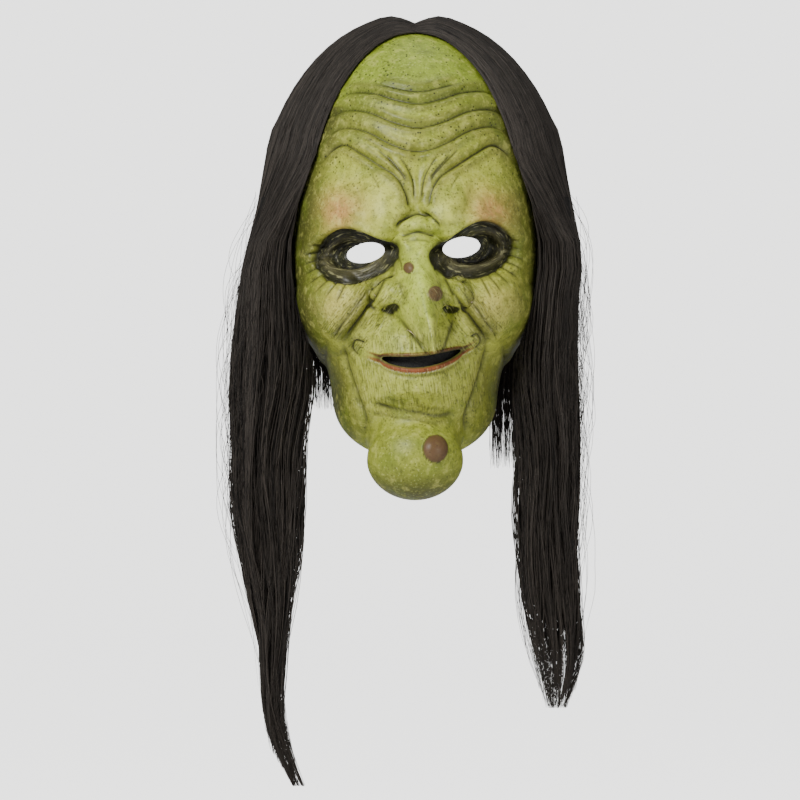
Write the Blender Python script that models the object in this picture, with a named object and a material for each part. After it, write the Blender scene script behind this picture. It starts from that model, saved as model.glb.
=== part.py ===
"""Latex witch mask with glued-on hair and an elastic head strap, at rest as it is worn.

Frame: the face looks along -Y, +Z is up, and +X is on the right of someone looking at the face.
The origin is the middle of the wearer's head, level with the eye holes. Sizes are in millimetres
and degrees here; add_mesh turns them into metres.
"""

import math

import bmesh
import bpy
import numpy as np

MM = 0.001
GAP = 0.3  # left between flat solids that touch
CURVED_GAP = 0.6  # left between curved ones, whose facets differ

# The head form that the latex skin is moulded over. A point of it is found from its tilt, the
# angle away from straight ahead, and its roll round the face, from +X towards +Z.
HEAD_RADII = np.array([86.0, 100.0, 150.0])
HEAD_POWER = 2.1  # 2 is an ellipsoid, more is boxier
SIDE_TILT, CROWN_TILT, THROAT_TILT = 85.5, 96.0, 66.0  # where the skin's rim lies
JAW_TAPER, JAW_Z, JAW_SPAN = 0.2, -84.0, 29.0  # share of its width lost at the jaw, and where
LATEX = 2.5
SKIN_COLUMNS, SKIN_ROWS = 34, 46

# Openings cut through the skin.
EYE_X, EYE_Z = 31.5, -0.5
EYE_HALF_WIDTH, EYE_HALF_HEIGHT, EYE_SLANT = 12.5, 6.6, 0.1
MOUTH_X, MOUTH_Z = 4.0, -74.0
MOUTH_HALF_WIDTH, MOUTH_HALF_HEIGHT, MOUTH_SMILE = 26.0, 3.6, 5.0

# Raised and sunken forms of the face: centre (x, z), radii (x, z), push (x, y, z), softness.
# A form fades to nothing at its radii; a low softness makes its edge steep.
FACE_FORMS = {
    "lower_face": ((0, -112), (66, 72), (0, -22, 0), 1.5),
    "bridge": ((0, 2), (17, 26), (0, -14, 0), 1.5),
    "nose_ridge": ((1, -18), (19, 26), (1, -22, -2), 1.5),
    "nose_body": ((3, -33), (26, 21), (4, -27, -8), 1.2),
    "nose_tip": ((5, -41), (15, 13), (7, -16, -18), 1.0),
    "nostril_wing_left": ((-19, -35), (13, 12), (-4, -14, 1), 1.0),
    "nostril_wing_right": ((25, -35), (13, 12), (4, -14, 1), 1.0),
    "brow_left": ((-36, 34), (34, 24), (0, -13, -3), 1.4),
    "brow_right": ((36, 34), (34, 24), (0, -13, -3), 1.4),
    "socket_left": ((-38, -3), (29, 19), (0, 16, 0), 1.3),
    "socket_right": ((38, -3), (29, 19), (0, 16, 0), 1.3),
    "cheek_left": ((-54, -46), (34, 30), (-2, -17, 0), 1.2),
    "cheek_right": ((54, -46), (34, 30), (2, -17, 0), 1.2),
    "lips": ((2, -70), (40, 16), (0, -7, 0), 1.5),
}

# The ball of the chin: the patch of skin round CHIN_PATCH, given as shares of the way to the
# rim across and up, is wrapped over an ellipsoid that faces forwards and down.
CHIN_PATCH, CHIN_PATCH_RADII = (0.0, -0.82), (0.40, 0.25)
CHIN_CENTRE = np.array([0.0, -76.0, -137.0])
CHIN_RADII = np.array([31.0, 31.0, 28.0])
CHIN_POLE_DROP = 30.0
CHIN_WRAP = 115.0
CHIN_EASE = 0.3  # share of the patch over which it leaves the ball

# Hair. The hairline is an ellipse seen from the front; the hair thickens towards the rim.
HAIRLINE_RADII = (79.0, 145.0)
HAIR_OUTER_RADII = (108.5, 160.0)
HAIR_AT_HAIRLINE = 3.2
HAIR_OVER_SKIN = 2.1
PARTING_ROLL, HAIR_END_ROLL = 3.5, 78.5  # degrees away from the crown's middle
WEFT_THICK = 0.9

# Hanks: height, inner x, outer x and half depth of each station, from the swing joint down.
HANK_Y = -22.0
SWING_Z, SWAY_Z = 28.0, -118.0
SWING_X = 98.5
SWING_RADIUS = 11.0
SWAY_RADIUS = 22.0
JOINT_GAP = 0.8
LEFT_HANK = (
    (28, 87.5, 109.5, 20),
    (0, 86.5, 111, 22),
    (-33, 85, 116, 23),
    (-65, 80, 119, 23),
    (-100, 74, 122, 22),
    (-118, 74, 122, 22),
    (-165, 74, 120, 21),
    (-205, 76, 114, 19),
    (-230, 81, 109, 17),
    (-264, 88, 104, 13),
    (-300, 91, 102, 8),
    (-330, 86, 95, 5),
    (-356, 76, 79, 2),
)
RIGHT_HANK = (
    (28, 87.5, 109.5, 20),
    (0, 86.5, 109.5, 22),
    (-33, 85, 108.5, 23),
    (-65, 80, 107.5, 23),
    (-100, 71, 107, 22),
    (-118, 67, 107, 22),
    (-165, 66, 107, 21),
    (-198, 69, 107, 20),
    (-230, 70, 108, 18),
    (-264, 76, 110, 14),
    (-290, 85, 103, 8),
    (-304, 91, 96, 3),
)

# Head strap. It lies in a plane through the line between both rivets, and its path is
# given by x and by the distance behind that line.
RIVET_Y, RIVET_Z = -18.0, 16.0
RIVET_HOLE, RIVET_SHANK, RIVET_FLANGE, RIVET_CAP = 2.5, 2.0, 3.9, 5.0
RIVET_PATCH_TILT, RIVET_PATCH_ROLL, RIVET_PATCH_HALF = 79.5, 6.3, (4.0, 3.0)
PATCH_THICK = 0.8
WASHER_THICK, WASHER_RADIUS = 1.0, 6.0
CAP_X = 85.4
STRAP_WIDTH, STRAP_THICK = 25.0, 1.5
STRAP_DROOP = -6.0  # degrees that the plane falls towards the back; it rises here
STRAP_X, STRAP_X_AT_RIVET = 79.5, 76.7
STRAP_RUN_END, STRAP_BACK = 74.0, 110.0
TAIL_END = 82.0
RING_WIRE = 1.2
RING_FRONT, RING_BACK = 22.0, 30.0
FOLD = RING_WIRE + GAP + STRAP_THICK / 2  # radius of a fold round a bar of the ring
SLIDER_AT, SLIDER_LENGTH, SLIDER_WALL = 52.0, 14.0, 1.4
SLIDER_CLEAR = 0.35


def rim_tilt(roll):
    """Degrees from straight ahead to the skin's rim at a roll in radians."""
    crown = np.clip(np.sin(roll), 0, 1)
    throat = np.clip(-np.sin(roll), 0, 1) ** 2.5
    return SIDE_TILT + (CROWN_TILT - SIDE_TILT) * crown + (THROAT_TILT - SIDE_TILT) * throat


def head_point(tilt, roll):
    """Point of the bare head form; tilt is in degrees and roll in radians."""
    tilt = np.radians(tilt)
    roll = roll + 0 * tilt
    ahead = np.stack([np.sin(tilt) * np.cos(roll), -np.cos(tilt), np.sin(tilt) * np.sin(roll)], -1)
    size = (np.abs(ahead) ** HEAD_POWER).sum(-1, keepdims=True) ** (1 / HEAD_POWER)
    points = ahead / size * HEAD_RADII
    points[..., 0] *= 1 - JAW_TAPER * np.exp(-(((points[..., 2] - JAW_Z) / JAW_SPAN) ** 2))
    return points


def head_normal(points):
    """Outward normals of the bare head form at points on it, above the jaw's taper."""
    steep = np.sign(points) * np.abs(points / HEAD_RADII) ** (HEAD_POWER - 1) / HEAD_RADII
    return steep / np.linalg.norm(steep, axis=-1, keepdims=True)


def chin_ball(points, u, v):
    """Wraps the patch of skin at the chin over its ball."""
    du = (u - CHIN_PATCH[0]) / CHIN_PATCH_RADII[0]
    dv = (v - CHIN_PATCH[1]) / CHIN_PATCH_RADII[1]
    far = np.hypot(du, dv)
    wrap = np.radians(CHIN_WRAP) * np.minimum(far, 1)
    round_ball = np.arctan2(dv, du)
    drop = math.radians(CHIN_POLE_DROP)
    pole = np.array([0, -math.cos(drop), -math.sin(drop)])
    up_ball = np.array([0, -math.sin(drop), math.cos(drop)])
    side = np.array([1.0, 0, 0])
    away = np.cos(round_ball)[..., None] * side + np.sin(round_ball)[..., None] * up_ball
    on_ball = np.cos(wrap)[..., None] * pole + np.sin(wrap)[..., None] * away
    share = np.clip((1 - far) / CHIN_EASE, 0, 1)
    share = (share * share * (3 - 2 * share))[..., None]
    return points * (1 - share) + (CHIN_CENTRE + CHIN_RADII * on_ball) * share


def skin_points(across, up):
    """Outer face of the skin; across and up run from -1 to 1 over a square that covers it."""
    u = across * np.sqrt(1 - up**2 / 2)
    v = up * np.sqrt(1 - across**2 / 2)
    roll = np.arctan2(v, u)
    bare = head_point(rim_tilt(roll) * np.hypot(u, v), roll)
    pushed = bare.copy()
    front = np.clip(-bare[..., 1] / 30, 0, 1)
    for (cx, cz), (rx, rz), push, softness in FACE_FORMS.values():
        far = ((bare[..., 0] - cx) / rx) ** 2 + ((bare[..., 2] - cz) / rz) ** 2
        share = np.clip(1 - far, 0, 1) ** softness * front
        pushed += share[..., None] * np.array(push)
    return chin_ball(pushed, u, v)


def material(name, colour, roughness, metallic=0.0):
    made = bpy.data.materials.new(name)
    made.use_nodes = True
    shader = made.node_tree.nodes["Principled BSDF"]
    shader.inputs["Base Color"].default_value = (*colour, 1)
    shader.inputs["Roughness"].default_value = roughness
    shader.inputs["Metallic"].default_value = metallic
    made.diffuse_color = (*colour, 1)
    return made


def add_mesh(name, points, faces, finish, origin=(0, 0, 0)):
    """A new object from points in millimetres, facing outwards, with its origin where given."""
    mesh = bpy.data.meshes.new(name)
    local = (np.array(points, float) - np.array(origin, float)) * MM
    mesh.from_pydata([tuple(point) for point in local.tolist()], [], faces)
    edit = bmesh.new()
    edit.from_mesh(mesh)
    bmesh.ops.recalc_face_normals(edit, faces=edit.faces)
    edit.to_mesh(mesh)
    edit.free()
    mesh.shade_smooth()
    mesh.set_sharp_from_angle(angle=math.radians(40))
    if finish:
        mesh.materials.append(finish)
    made = bpy.data.objects.new(name, mesh)
    made.location = [coordinate * MM for coordinate in origin]
    bpy.context.scene.collection.objects.link(made)
    return made


def grid_faces(rows, columns, start=0, flip=False):
    """Quads over a grid of points, row by row."""
    quads = []
    for row in range(rows - 1):
        for column in range(columns - 1):
            first = start + row * columns + column
            quad = (first, first + 1, first + columns + 1, first + columns)
            quads.append(quad[::-1] if flip else quad)
    return quads


def loft(name, rings, finish, origin=(0, 0, 0)):
    """A closed solid through rings of points, capped at both ends."""
    count = len(rings[0])
    faces = [
        (
            k * count + i,
            k * count + (i + 1) % count,
            (k + 1) * count + (i + 1) % count,
            (k + 1) * count + i,
        )
        for k in range(len(rings) - 1)
        for i in range(count)
    ]
    faces.append(tuple(range(count)))
    faces.append(tuple((len(rings) - 1) * count + i for i in range(count)))
    return add_mesh(name, [point for ring in rings for point in ring], faces, finish, origin)


def curved_slab(name, tilts, roll, low, high, finish):
    """A closed slab that lies over the head form, between two heights above it."""
    bare = head_point(tilts, roll)
    out = head_normal(bare)
    rows, columns = tilts.shape
    under = (bare + out * low).reshape(-1, 3)
    over = (bare + out * np.reshape(high, (*np.shape(high), 1))).reshape(-1, 3)
    size = rows * columns
    faces = grid_faces(rows, columns) + grid_faces(rows, columns, size, flip=True)
    edge = list(range(columns))
    edge += [row * columns + columns - 1 for row in range(1, rows)]
    edge += [size - 1 - column for column in range(1, columns)]
    edge += [row * columns for row in range(rows - 2, 0, -1)]
    for here, there in zip(edge, edge[1:] + edge[:1]):
        faces.append((there, here, here + size, there + size))
    return add_mesh(name, np.concatenate([under, over]), faces, finish)


def cut(target, cutter):
    """Cuts the cutter out of the target, and leaves the cutter as a hidden guide."""
    cutter.hide_render = True
    cutter.display_type = "WIRE"
    boolean = target.modifiers.new("cut_" + cutter.name, "BOOLEAN")
    boolean.object = cutter
    boolean.operation = "DIFFERENCE"


def turned(name, profile, y, z, finish, side=1, sides=20):
    """A solid turned about a line along X, from (x, radius) stations. Side -1 mirrors it."""
    around = [2 * math.pi * i / sides for i in range(sides)]
    rings = [
        [(side * x, y + radius * math.cos(a), z + radius * math.sin(a)) for a in around]
        for x, radius in profile
    ]
    return loft(name, rings, finish, (side * profile[0][0], y, z))


def box(name, low, high, finish):
    """A closed box between two corners in the strap's own x, back and across."""
    (x0, s0, w0), (x1, s1, w1) = low, high
    corners = [(s0, w0), (s1, w0), (s1, w1), (s0, w1)]
    rings = [[on_strap(x, s, w) for s, w in corners] for x in (x0, x1)]
    return loft(name, rings, finish, on_strap((x0 + x1) / 2, (s0 + s1) / 2, 0))


def rivet_hole(target):
    """Cuts the holes of both rivets through a piece."""
    for side in (-1, 1):
        guide = turned(
            f"rivet_hole_{target.name}_{'left' if side < 0 else 'right'}",
            [(60, RIVET_HOLE), (95, RIVET_HOLE)],
            RIVET_Y,
            RIVET_Z,
            None,
            side,
        )
        cut(target, guide)


def opening(name, cx, cz, half_width, half_height, slant, smile):
    """A cutter for an opening, straight through the front of the skin."""
    outline = []
    for angle in np.radians(np.arange(0, 360, 18)):
        x = half_width * math.cos(angle)
        rise = smile * (math.cos(angle) ** 2)
        outline.append((cx + x, cz + half_height * math.sin(angle) + slant * x + rise))
    return loft(name, [[(x, y, z) for x, z in outline] for y in (-150, -20)], None)


def face_shell(latex):
    """The moulded skin: a sheet over the head form, thickened inwards, with its openings cut."""
    step_across = np.linspace(-1, 1, SKIN_COLUMNS + 1)
    step_up = np.linspace(-1, 1, SKIN_ROWS + 1)
    across, up = np.meshgrid(step_across * (0.62 + 0.38 * step_across**2), step_up)
    points = skin_points(across, up).reshape(-1, 3)
    shell = add_mesh("face_shell", points, grid_faces(SKIN_ROWS + 1, SKIN_COLUMNS + 1), latex)
    top_face = shell.data.polygons[-SKIN_COLUMNS // 2]
    if top_face.normal.z < 0:
        shell.data.flip_normals()
    solid = shell.modifiers.new("latex_thickness", "SOLIDIFY")
    solid.thickness = LATEX * MM
    solid.offset = -1
    for side, name in ((-1, "left"), (1, "right")):
        hole = opening(
            "eye_cutter_" + name,
            side * EYE_X,
            EYE_Z,
            EYE_HALF_WIDTH,
            EYE_HALF_HEIGHT,
            -side * EYE_SLANT,
            0,
        )
        cut(shell, hole)
    mouth = opening(
        "mouth_cutter", MOUTH_X, MOUTH_Z, MOUTH_HALF_WIDTH, MOUTH_HALF_HEIGHT, 0, MOUTH_SMILE
    )
    cut(shell, mouth)
    rivet_hole(shell)


def hairline_tilt(roll):
    """Degrees from straight ahead to the hairline, at each roll in radians."""
    tilts = np.linspace(30, 90, 121)
    found = []
    for angle in np.ravel(roll):
        points = head_point(tilts, angle)
        inside = (points[:, 0] / HAIRLINE_RADII[0]) ** 2 + (points[:, 2] / HAIRLINE_RADII[1]) ** 2
        found.append(np.interp(1.0, inside, tilts))
    return np.array(found)


def side_roll(side, from_crown):
    """Roll in radians at a number of degrees from the middle of the crown, to one side."""
    return np.radians(90 - side * np.asarray(from_crown, float))


def hair_over_skull(name, side, hair):
    """Hair that lies on the skin between the parting and the joint where a hank swings."""
    roll = side_roll(side, np.linspace(PARTING_ROLL, HAIR_END_ROLL, 15))[:, None]
    share = np.linspace(0, 1, 7)[None, :]
    start = hairline_tilt(roll)[:, None]
    tilts = start + (rim_tilt(roll) - start) * share
    at_rim = np.hypot(
        (HAIR_OUTER_RADII[0] - HEAD_RADII[0]) * np.cos(roll),
        (HAIR_OUTER_RADII[1] - HEAD_RADII[2]) * np.sin(roll),
    )
    high = HAIR_AT_HAIRLINE + (at_rim - HAIR_AT_HAIRLINE) * share**0.7
    slab = curved_slab(name, tilts, roll, HAIR_OVER_SKIN, high, hair)
    clearance = SWING_RADIUS + JOINT_GAP
    around = np.radians(np.arange(0, 360, 15))
    rings = [
        [
            (side * SWING_X + clearance * math.cos(a), y, SWING_Z + clearance * math.sin(a))
            for a in around
        ]
        for y in (HANK_Y - 40, HANK_Y + 60)
    ]
    cut(slab, loft(name + "_swing_cutter", rings, None))


def weft_strip(name, side, near_rim, fabric):
    """A sewn strip that the hair is stitched to, glued along the hairline or along the rim."""
    roll = side_roll(side, np.linspace(10, 74, 14))[:, None]
    if near_rim:
        start = (rim_tilt(roll) - 8).reshape(-1, 1)
    else:
        start = hairline_tilt(roll)[:, None] + 1.5
    tilts = start + np.array([[0.0, 2.3, 4.6]])
    high = np.full(tilts.shape, CURVED_GAP + WEFT_THICK)
    curved_slab(name, tilts, roll, CURVED_GAP, high, fabric)


def parting_base(fabric):
    """The strip down the middle of the crown that both sides' hair is glued to."""
    roll = np.radians(np.linspace(82, 98, 7))[:, None]
    start = hairline_tilt(roll)[:, None]
    tilts = start + (rim_tilt(roll) - 1 - start) * np.linspace(0, 1, 7)[None, :]
    high = np.full(tilts.shape, CURVED_GAP + WEFT_THICK)
    curved_slab("parting_base", tilts, roll, CURVED_GAP, high, fabric)


def hank_station(side, stations, z):
    """Inner x, outer x and half depth of a hank at a height, read between its stations."""
    heights = [-station[0] for station in stations]
    inner, outer, depth = (
        float(np.interp(-z, heights, [station[k] for station in stations])) for k in (1, 2, 3)
    )
    return side * inner, side * outer, depth


def hank_ring(inner, outer, depth, z, count=16):
    around = [2 * math.pi * i / count for i in range(count)]
    middle, half = (inner + outer) / 2, abs(outer - inner) / 2
    return [(middle + half * math.cos(a), HANK_Y + depth * math.sin(a), z) for a in around]


def hank_upper(name, side, stations, hair):
    """The hank from its rounded top, about the swing joint, to the socket of the sway joint."""
    rings = []
    for angle in np.radians([80, 55, 30]):
        half = SWING_RADIUS * math.cos(angle)
        z = SWING_Z + SWING_RADIUS * math.sin(angle)
        rings.append(
            hank_ring(side * (SWING_X - half), side * (SWING_X + half), stations[0][3], z)
        )
    for station in stations:
        if station[0] > SWAY_Z:
            rings.append(hank_ring(side * station[1], side * station[2], station[3], station[0]))
    rings.append(hank_ring(*hank_station(side, stations, SWAY_Z), SWAY_Z))
    upper = loft(name, rings, hair, (side * SWING_X, HANK_Y, SWING_Z))
    clearance = SWAY_RADIUS + JOINT_GAP
    around = np.radians(np.arange(0, 360, 15))
    socket = [
        [
            (side * x, HANK_Y + clearance * math.cos(a), SWAY_Z + clearance * math.sin(a))
            for a in around
        ]
        for x in (50, 140)
    ]
    cut(upper, loft(name + "_sway_cutter", socket, None))


def hank_lower(name, side, stations, hair):
    """The hank below the sway joint, with a rounded top that turns inside the upper's socket."""
    inner, outer, _ = hank_station(side, stations, SWAY_Z)
    rings = []
    for angle in np.radians([80, 60, 40, 20]):
        z = SWAY_Z + SWAY_RADIUS * math.sin(angle)
        rings.append(hank_ring(inner, outer, SWAY_RADIUS * math.cos(angle), z))
    for station in stations:
        if station[0] <= SWAY_Z:
            rings.append(hank_ring(side * station[1], side * station[2], station[3], station[0]))
    loft(name, rings, hair, ((inner + outer) / 2, HANK_Y, SWAY_Z))


def on_strap(x, back, across):
    """A point of the strap: x, distance behind the rivets' line, and height across the strap."""
    droop = math.radians(STRAP_DROOP)
    y = RIVET_Y + back * math.cos(droop) + across * math.sin(droop)
    z = RIVET_Z - back * math.sin(droop) + across * math.cos(droop)
    return (x, y, z)


def band(name, path, finish):
    """A flat strap of even thickness along a path of (x, back) points."""
    path = np.array(path, float)
    along = np.gradient(path, axis=0)
    along /= np.linalg.norm(along, axis=1, keepdims=True)
    half = STRAP_WIDTH / 2
    rings = []
    for (x, s), (ax, a_s) in zip(path, along):
        dx, ds = -a_s * STRAP_THICK / 2, ax * STRAP_THICK / 2
        corners = ((1, -half), (1, half), (-1, half), (-1, -half))
        rings.append([on_strap(x + sign * dx, s + sign * ds, w) for sign, w in corners])
    return loft(name, rings, finish, on_strap(STRAP_X, 0, 0))


def fold(back, first, last):
    """Points of a fold round a bar of the ring, between two angles in degrees."""
    angles = np.radians(np.linspace(first, last, 9))
    return [(STRAP_X + FOLD * math.cos(a), back + FOLD * math.sin(a)) for a in angles]


def elastic_strap(elastic):
    """The strap: its tail, the fold through the ring, the way round the head, the left rivet."""
    path = [(STRAP_X + FOLD, s) for s in np.linspace(TAIL_END, RING_BACK + 3, 6)]
    path += fold(RING_BACK, 0, -180)
    inner = STRAP_X - FOLD
    path += [(inner, s) for s in np.linspace(RING_BACK + 3, STRAP_RUN_END - 4, 5)]
    middle, half = (inner - STRAP_X) / 2, (inner + STRAP_X) / 2
    depth = STRAP_BACK - STRAP_RUN_END
    for angle in np.radians(np.linspace(0, 180, 31)):
        x = math.copysign(abs(math.cos(angle)) ** 0.85, math.cos(angle))
        path.append((middle + half * x, STRAP_RUN_END + depth * math.sin(angle) ** 0.85))
    path += [(-STRAP_X, s) for s in (66, 50, 34, 20)]
    path += [(-STRAP_X_AT_RIVET + 0.9, s) for s in (6, 0, -7)]
    strap = band("elastic_strap", path, elastic)
    rivet_hole(strap)


def ring_tab(elastic):
    """The short tab that holds the ring: folded round its front bar, both ends on the rivet."""
    apart = STRAP_THICK / 2 + GAP / 2
    path = [(STRAP_X_AT_RIVET + apart, s) for s in (-7, 0, 6)]
    path += [(STRAP_X + FOLD, RING_FRONT - 2.5)]
    path += fold(RING_FRONT, 0, 180)
    path += [(STRAP_X - FOLD, RING_FRONT - 2.5)]
    path += [(STRAP_X_AT_RIVET - apart, s) for s in (6, 0, -7)]
    rivet_hole(band("ring_tab", path, elastic))


def strap_ring(metal):
    """The wire rectangle that joins the tab and the strap."""
    half = STRAP_WIDTH / 2 + 0.5 + RING_WIRE
    corner = 1.6
    spine = []
    for s, w, first in (
        (RING_BACK - corner, half - corner, 0),
        (RING_FRONT + corner, half - corner, 90),
        (RING_FRONT + corner, corner - half, 180),
        (RING_BACK - corner, corner - half, 270),
    ):
        for angle in np.radians(np.linspace(first, first + 90, 4)):
            spine.append((s + corner * math.cos(angle), w + corner * math.sin(angle)))
    curve = bpy.data.curves.new("strap_ring", "CURVE")
    curve.dimensions = "3D"
    curve.bevel_depth = RING_WIRE * MM
    curve.bevel_resolution = 2
    line = curve.splines.new("POLY")
    line.points.add(len(spine) - 1)
    centre = np.array(on_strap(STRAP_X, 0, 0))
    for point, (s, w) in zip(line.points, spine):
        place = (np.array(on_strap(STRAP_X, s, w)) - centre) * MM
        point.co = (*place.tolist(), 1)
    line.use_cyclic_u = True
    curve.materials.append(metal)
    ring = bpy.data.objects.new("strap_ring", curve)
    ring.location = (centre * MM).tolist()
    bpy.context.scene.collection.objects.link(ring)


def strap_slider(plastic):
    """The keeper that slides along both layers of the strap, with a slot for each layer."""
    layer = STRAP_THICK / 2 + SLIDER_CLEAR
    width = STRAP_WIDTH / 2 + SLIDER_CLEAR
    half_x = FOLD + layer + SLIDER_WALL
    half_s = SLIDER_LENGTH / 2
    half_w = width + SLIDER_WALL
    slider = box(
        "strap_slider",
        (STRAP_X - half_x, SLIDER_AT - half_s, -half_w),
        (STRAP_X + half_x, SLIDER_AT + half_s, half_w),
        plastic,
    )
    for side, name in ((-1, "inner"), (1, "outer")):
        middle = STRAP_X + side * FOLD
        slot = box(
            "slider_slot_" + name,
            (middle - layer, SLIDER_AT - half_s - 5, -width),
            (middle + layer, SLIDER_AT + half_s + 5, width),
            None,
        )
        cut(slider, slot)


def rivet_set(side, name, metal, fabric):
    """A rivet, its washer inside the strap, and the glued patch that backs the skin's hole."""
    inner_face = STRAP_X_AT_RIVET - STRAP_THICK - GAP / 2
    washer_x = inner_face - GAP - WASHER_THICK
    flange_x = washer_x - GAP - 1.0
    profile = [
        (flange_x, RIVET_FLANGE - 0.5),
        (flange_x + 0.3, RIVET_FLANGE),
        (flange_x + 1.0, RIVET_FLANGE),
        (flange_x + 1.0, RIVET_SHANK),
        (CAP_X, RIVET_SHANK),
        (CAP_X, RIVET_CAP),
        (CAP_X + 0.4, RIVET_CAP),
        (CAP_X + 1.2, RIVET_CAP * 0.6),
    ]
    turned("rivet_" + name, profile, RIVET_Y, RIVET_Z, metal, side)
    washer = turned(
        "washer_" + name,
        [(washer_x, WASHER_RADIUS), (washer_x + WASHER_THICK, WASHER_RADIUS)],
        RIVET_Y,
        RIVET_Z,
        metal,
        side,
    )
    rivet_hole(washer)
    tilts = RIVET_PATCH_TILT + RIVET_PATCH_HALF[0] * np.linspace(-1, 1, 7)[None, :]
    from_crown = 90 - RIVET_PATCH_ROLL + RIVET_PATCH_HALF[1] * np.linspace(-1, 1, 7)
    roll = side_roll(side, from_crown)[:, None]
    tilts = tilts + 0 * roll
    inside = -(LATEX + CURVED_GAP)
    low = inside - PATCH_THICK
    patch = curved_slab("patch_" + name, tilts, roll, low, np.full(tilts.shape, inside), fabric)
    rivet_hole(patch)


def main():
    for old in list(bpy.data.objects):
        bpy.data.objects.remove(old)
    latex = material("latex", (0.42, 0.5, 0.12), 0.55)
    hair = material("hair", (0.012, 0.01, 0.009), 0.4)
    fabric = material("weft_fabric", (0.06, 0.045, 0.035), 0.9)
    elastic = material("elastic", (0.02, 0.02, 0.02), 0.85)
    plastic = material("black_plastic", (0.015, 0.015, 0.015), 0.35)
    metal = material("nickel_plate", (0.6, 0.58, 0.55), 0.25, 1.0)
    face_shell(latex)
    parting_base(fabric)
    for side, name, stations in ((-1, "left", LEFT_HANK), (1, "right", RIGHT_HANK)):
        hair_over_skull(f"hair_{name}_side", side, hair)
        weft_strip("weft_front_" + name, side, False, fabric)
        weft_strip("weft_rear_" + name, side, True, fabric)
        hank_upper(f"hair_{name}_upper", side, stations, hair)
        hank_lower(f"hair_{name}_lower", side, stations, hair)
        rivet_set(side, name, metal, fabric)
    elastic_strap(elastic)
    ring_tab(elastic)
    strap_ring(metal)
    strap_slider(plastic)


main()
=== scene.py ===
"""Looks of the latex witch mask: painted skin, glued hair, strap hardware, studio.

Shapes are worked out in millimetres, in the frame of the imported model, and turned into metres
where a mesh is made. "Seen from the front" means by x and z alone.
"""

import math

import bpy
import numpy as np
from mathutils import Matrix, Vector


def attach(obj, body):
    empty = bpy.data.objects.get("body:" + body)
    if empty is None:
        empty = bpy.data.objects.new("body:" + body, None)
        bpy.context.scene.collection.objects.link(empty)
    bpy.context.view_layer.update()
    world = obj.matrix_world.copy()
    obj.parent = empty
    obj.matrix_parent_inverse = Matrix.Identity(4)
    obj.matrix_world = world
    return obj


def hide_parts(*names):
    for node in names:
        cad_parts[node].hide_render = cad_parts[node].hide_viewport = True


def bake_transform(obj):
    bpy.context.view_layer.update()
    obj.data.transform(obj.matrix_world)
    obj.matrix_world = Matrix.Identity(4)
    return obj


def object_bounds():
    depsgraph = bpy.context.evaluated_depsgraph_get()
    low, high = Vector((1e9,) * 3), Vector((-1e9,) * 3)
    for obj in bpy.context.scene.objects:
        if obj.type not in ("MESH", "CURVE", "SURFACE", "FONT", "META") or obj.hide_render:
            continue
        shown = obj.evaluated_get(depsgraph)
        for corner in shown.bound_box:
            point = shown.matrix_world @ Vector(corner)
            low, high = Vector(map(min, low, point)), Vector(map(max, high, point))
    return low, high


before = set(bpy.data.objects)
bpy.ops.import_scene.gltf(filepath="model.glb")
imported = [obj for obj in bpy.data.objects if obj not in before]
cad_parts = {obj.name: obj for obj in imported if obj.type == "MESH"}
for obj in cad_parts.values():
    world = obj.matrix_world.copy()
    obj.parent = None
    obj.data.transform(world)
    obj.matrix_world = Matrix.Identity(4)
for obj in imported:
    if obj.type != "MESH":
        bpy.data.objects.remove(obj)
CAD_BOX = [list(corner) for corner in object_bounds()]

MM = 0.001
RNG = np.random.default_rng(7)
SIDES = {"left": -1, "right": 1}  # which way each side lies along x

# ---------------------------------------------------------------- the skin's large forms

HEAD_RADII = np.array([86.0, 100.0, 150.0])
HEAD_POWER = 2.1  # 2 is an ellipsoid, more is boxier
SIDE_TILT, CROWN_TILT, THROAT_TILT = 85.5, 96.0, 66.0  # where the skin's rim lies
JAW_TAPER, JAW_Z, JAW_SPAN = 0.2, -84.0, 29.0  # share of its width lost at the jaw, and where
LATEX = 1.4
FREE_BEND = 0.5  # radians the skin may turn, over one thickness, before it is cast thinner
THINNEST = 0.1  # least share of the thickness that is kept
SKIN_COLUMNS, SKIN_ROWS = 320, 480

# Openings, and the dark sockets, which lie a little outwards of the holes.
EYE_HOLES = ((-32.5, -2.3), (30.5, 1.2))
EYE_HALF_WIDTH, EYE_HALF_HEIGHT, EYE_SLANT = 12.5, 6.6, 0.12
SOCKET_SHIFT, SOCKET_RADII = (7.0, -1.5), (26.0, 17.5)
MOUTH_X, MOUTH_Z = 4.0, -74.0
MOUTH_HALF_WIDTH, MOUTH_HALF_HEIGHT, MOUTH_SLANT, MOUTH_SMILE = 26.0, 3.6, 0.1, 5.0

# Raised and sunken forms: centre (x, z), radii (x, z), push (x, y, z), softness.
FACE_FORMS = {
    "lower_face": ((0, -112), (66, 72), (0, -20, 0), 1.5),
    "muzzle": ((2, -80), (46, 40), (0, -12, 0), 1.0),
    "brow_left": ((-25, 28), (24, 24), (1, -14, -7), 1.1),
    "brow_right": ((26, 28), (24, 24), (-1, -14, -7), 1.1),
    "glabella": ((2, 44), (9, 26), (0, 4, 0), 1.0),
    "under_lip": ((1, -104), (34, 10), (0, 5, 0), 1.2),
}
for name, side in SIDES.items():
    FACE_FORMS |= {
        f"brow_end_{name}": ((side * 55, 26), (22, 24), (0, -10, -2), 1.2),
        f"socket_{name}": ((side * 39, -3), (31, 18), (0, 16, 0), 1.0),
        f"cheek_{name}": ((side * 55, -43), (34, 27), (side, -18, 2), 0.9),
        f"jaw_corner_{name}": ((side * 48, -116), (22, 26), (0, -6, 0), 1.2),
    }

WARTS = ((-4, -13, 3.6, 2.4), (12.5, -30, 4.9, 3.4), (13, -131, 8.4, 4.6))  # x, z, half, height

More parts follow.
